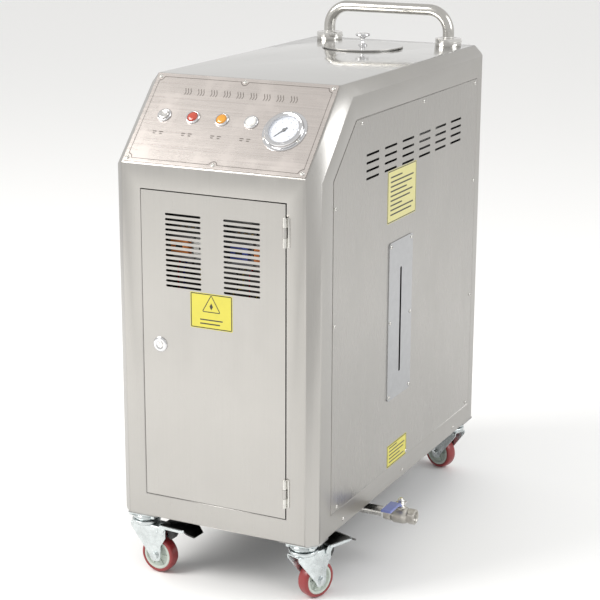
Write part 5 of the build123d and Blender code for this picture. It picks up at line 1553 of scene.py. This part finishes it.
# ---- inside ----
class BuildSwitchgear(Operator):
    """Fit the contactors, terminals and wiring on the equipment plate"""

    bl_idname = "cleaner.switchgear"
    bl_label = "Switchgear"

    def execute(self, context):
        low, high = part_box("electrical_gear")
        back = high.y
        housing = moulded("housing", (0.36, 0.37, 0.38), 0.5)
        faces = {
            "orange": moulded("orange face", (0.78, 0.24, 0.05), 0.45),
            "pale": moulded("pale face", (0.72, 0.72, 0.69), 0.5),
            "blue": moulded("blue face", (0.08, 0.11, 0.42), 0.45),
        }
        brass = plated("terminal brass", (0.66, 0.50, 0.24), 0.3, 0.1)
        parts, level = [], high.z - 39 * MM
        for x, face in ((-88, "orange"), (-38, "pale"), (40, "blue"), (90, "orange")):
            placed = basis((x * MM, back, level), TO_FRONT, TO_RIGHT)
            work = bmesh.new()
            add_slab(work, placed, oblong(44.6 * MM, 74 * MM, 2 * MM), 0, 34 * MM, 0, 0.8 * MM)
            add_slab(work, placed, oblong(44.6 * MM, 50 * MM, 2 * MM), 34 * MM, 48 * MM, 0, 0.8 * MM)
            add_slab(work, placed, oblong(38 * MM, 30 * MM, 2 * MM), 48 * MM, 63 * MM, 1, 1.0 * MM)
            # A near-black patch on each contactor's face: painted shade for a slot.
            add_slab(work, placed, oblong(14 * MM, 8 * MM, 1 * MM), 63 * MM, 64 * MM, 2, 0.3 * MM)
            for row in (-31, 31):
                for column in (-14.5, 0, 14.5):
                    screw = placed @ Matrix.Translation((column * MM, row * MM, 34 * MM))
                    stud = mm([(0, -1), (4.2, -1), (4.2, 1.2), (3.6, 1.8), (1.4, 1.8), (1.2, 1.0), (0, 1.0)])
                    add_turned(work, screw, stud, 20, 3)
            parts.append(new_piece("contactor", work, housing, faces[face], painted_hole_shade(), brass))
        work = bmesh.new()
        clamp = basis((0, back, low.z + 23 * MM), TO_FRONT, TO_RIGHT)
        add_slab(work, clamp, oblong(9.2 * MM, 46 * MM, 0.8 * MM), 0, 26 * MM, 0, 0.4 * MM)
        add_slab(work, clamp, oblong(9.2 * MM, 22 * MM, 0.8 * MM), 26 * MM, 38 * MM, 0, 0.4 * MM)
        for row in (-16.5, 16.5):
            stud = mm([(0, 25), (3.1, 25), (3.1, 26.6), (1.0, 26.9), (0, 26.4)])
            add_turned(work, clamp @ Matrix.Translation((0, row * MM, 0)), stud, 16, 1)
        clamp = new_piece("clamp", work, housing, brass)
        seed = bmesh.new()
        strip = grow("terminals", seed, tree(make_row_tree), housing, thing=clamp, count=16,
                     step=(10 * MM, 0, 0))
        strip.data.transform(Matrix.Translation((-75 * MM, 0, 0)))
        bpy.data.objects.remove(clamp)
        parts.append(strip)
        seat(joined("switchgear", parts), "cabinet", "electrical_plastic", "electrical_gear")
        colours = ((0.45, 0.02, 0.02), (0.02, 0.03, 0.28), (0.02, 0.02, 0.02), (0.50, 0.38, 0.02))
        wires = []
        for k in range(12):
            x0 = (-88, -38, 40, 90)[k // 3] + (k % 3 - 1) * 14.5
            x1 = (k - 5.5) * 12.4
            out, sag = 42 + 3 * (k % 3), 582 + 8 * (k % 4)
            path = [(x0, -34, 640), (x0, -out, 632), (x0, -out, sag), (x1, -out, sag - 14),
                    (x1, -out, 530), (x1, -28, 523)]
            path = [(x * MM, back + y * MM, z * MM) for x, y, z in path]
            ink = moulded("wire %d" % (k % 4), colours[k % 4], 0.4)
            wires.append(grow("wire", path_seed(path), tree(make_tube_tree), ink, radius=1.5 * MM,
                              bend=7 * MM))
        seat(joined("wiring", wires), "cabinet", "gland_plastic")
        return {"FINISHED"}


class FinishInside(Operator):
    """Give the tank, boiler, pump and pipework their finishes"""

    bl_idname = "cleaner.inside"
    bl_label = "Inside"

    def execute(self, context):
        paint(brushed("tank sheet", (0.52, 0.52, 0.51), 0, 0.36), "water_tank")
        paint(brushed("boiler sheet", (0.47, 0.465, 0.45), 2, 0.38), "boiler")
        paint(plated("heater steel", (0.45, 0.43, 0.41), 0.34, 0.15), "heater")
        paint(plated("turned brass", (0.72, 0.53, 0.24), 0.26, 0.10), "safety_valve", "sight_fittings")
        paint(moulded("pump enamel", (0.035, 0.06, 0.13), 0.36, 500.0, 0.06, 0.3), "feed_pump")
        paint(plated("pipe run", (0.58, 0.57, 0.54), 0.28, 0.12), "pipework")
        paint(brushed("equipment sheet", (0.40, 0.40, 0.39), 0, 0.45), "equipment_plate")
        paint(glass_finish(), "sight_tube")
        return {"FINISHED"}


# ---- stage ----
class BuildStudio(Operator):
    """Lay the pale floor, light it softly and place the camera"""

    bl_idname = "cleaner.studio"
    bl_label = "Studio"

    def execute(self, context):
        studio = look("studio")
        scene = context.scene
        world = bpy.data.worlds.new("studio")
        world.use_nodes = True
        world.node_tree.nodes["Background"].inputs["Color"].default_value = (1.0, 0.995, 0.985, 1)
        world.node_tree.nodes["Background"].inputs["Strength"].default_value = studio.world
        scene.world = world
        scene.view_settings.view_transform = "Standard"
        work = bmesh.new()
        bmesh.ops.create_grid(work, x_segments=1, y_segments=1, size=15)
        plain = finish("floor", lambda graph: {"Base Color": (*studio.floor, 1), "Roughness": 0.6})
        new_piece("floor", work, plain)
        for name, place, size, power, colour in SOFTBOXES:
            lamp = bpy.data.lights.new(name, "AREA")
            lamp.shape, lamp.size, lamp.size_y = "RECTANGLE", *size
            lamp.energy, lamp.color = power * studio.key, colour
            holder = bpy.data.objects.new(name, lamp)
            scene.collection.objects.link(holder)
            out = (Vector(place) - LIT_SPOT).normalized()
            holder.matrix_world = basis(place, out, UP.cross(out))
        lens = bpy.data.cameras.new("camera")
        lens.lens, lens.sensor_width = LENS, 36.0
        camera = bpy.data.objects.new("camera", lens)
        scene.collection.objects.link(camera)
        back = (CAMERA_PLACE - CAMERA_AIM).normalized()
        right = UP.cross(back).normalized()
        turned = right * cos(CAMERA_ROLL) + back.cross(right) * sin(CAMERA_ROLL)
        camera.matrix_world = basis(CAMERA_PLACE, back, turned)
        scene.camera = camera
        return {"FINISHED"}


CAMERA_PLACE = Vector((1.4783, -3.0737, 1.4215))
CAMERA_AIM = Vector((0.1817, -0.422, 0.6108))
CAMERA_ROLL = radians(0.20)
LENS = 100.96
LIT_SPOT = Vector((0, 0, 0.5))
SOFTBOXES = (
    ("key", (-2.6, -2.6, 3.2), (2.4, 2.4), 1.0, (1.0, 0.985, 0.96)),
    ("side", (3.4, 0.4, 2.6), (2.0, 2.6), 0.35, (0.97, 0.985, 1.0)),
)


# ---- panel ----
OPERATORS = (
    BuildCabinet, BuildDoor, BuildHandle, BuildLid, BuildControlPlate, BuildLamps, BuildGauge, BuildLock,
    BuildStickers, BuildScrews, BuildCasters, BuildWheels, BuildPedals, BuildDrain, BuildRearFittings,
    BuildSwitchgear, FinishInside, BuildStudio,
)


class CleanerPanel(Panel):
    """The cleaner's sizes, colours and building steps"""

    bl_idname = "VIEW3D_PT_cleaner"
    bl_label = "Steam cleaner"
    bl_space_type = "VIEW_3D"
    bl_region_type = "UI"
    bl_category = "Cleaner"

    def draw(self, context):
        for name, group in LOOKS.items():
            column = self.layout.column(align=True)
            for key in group.__annotations__:
                column.prop(getattr(context.scene, name), key)
        for step in OPERATORS:
            self.layout.operator(step.bl_idname)


CLASSES = (*LOOKS.values(), *OPERATORS, CleanerPanel)


def register():
    for item in CLASSES:
        bpy.utils.register_class(item)
    for name, group in LOOKS.items():
        setattr(bpy.types.Scene, name, PointerProperty(type=group))


def unregister():
    for name in LOOKS:
        delattr(bpy.types.Scene, name)
    for item in reversed(CLASSES):
        bpy.utils.unregister_class(item)


def main():
    register()
    for step in OPERATORS:
        family, action = step.bl_idname.split(".")
        getattr(getattr(bpy.ops, family), action)()


if __name__ == "__main__":
    main()
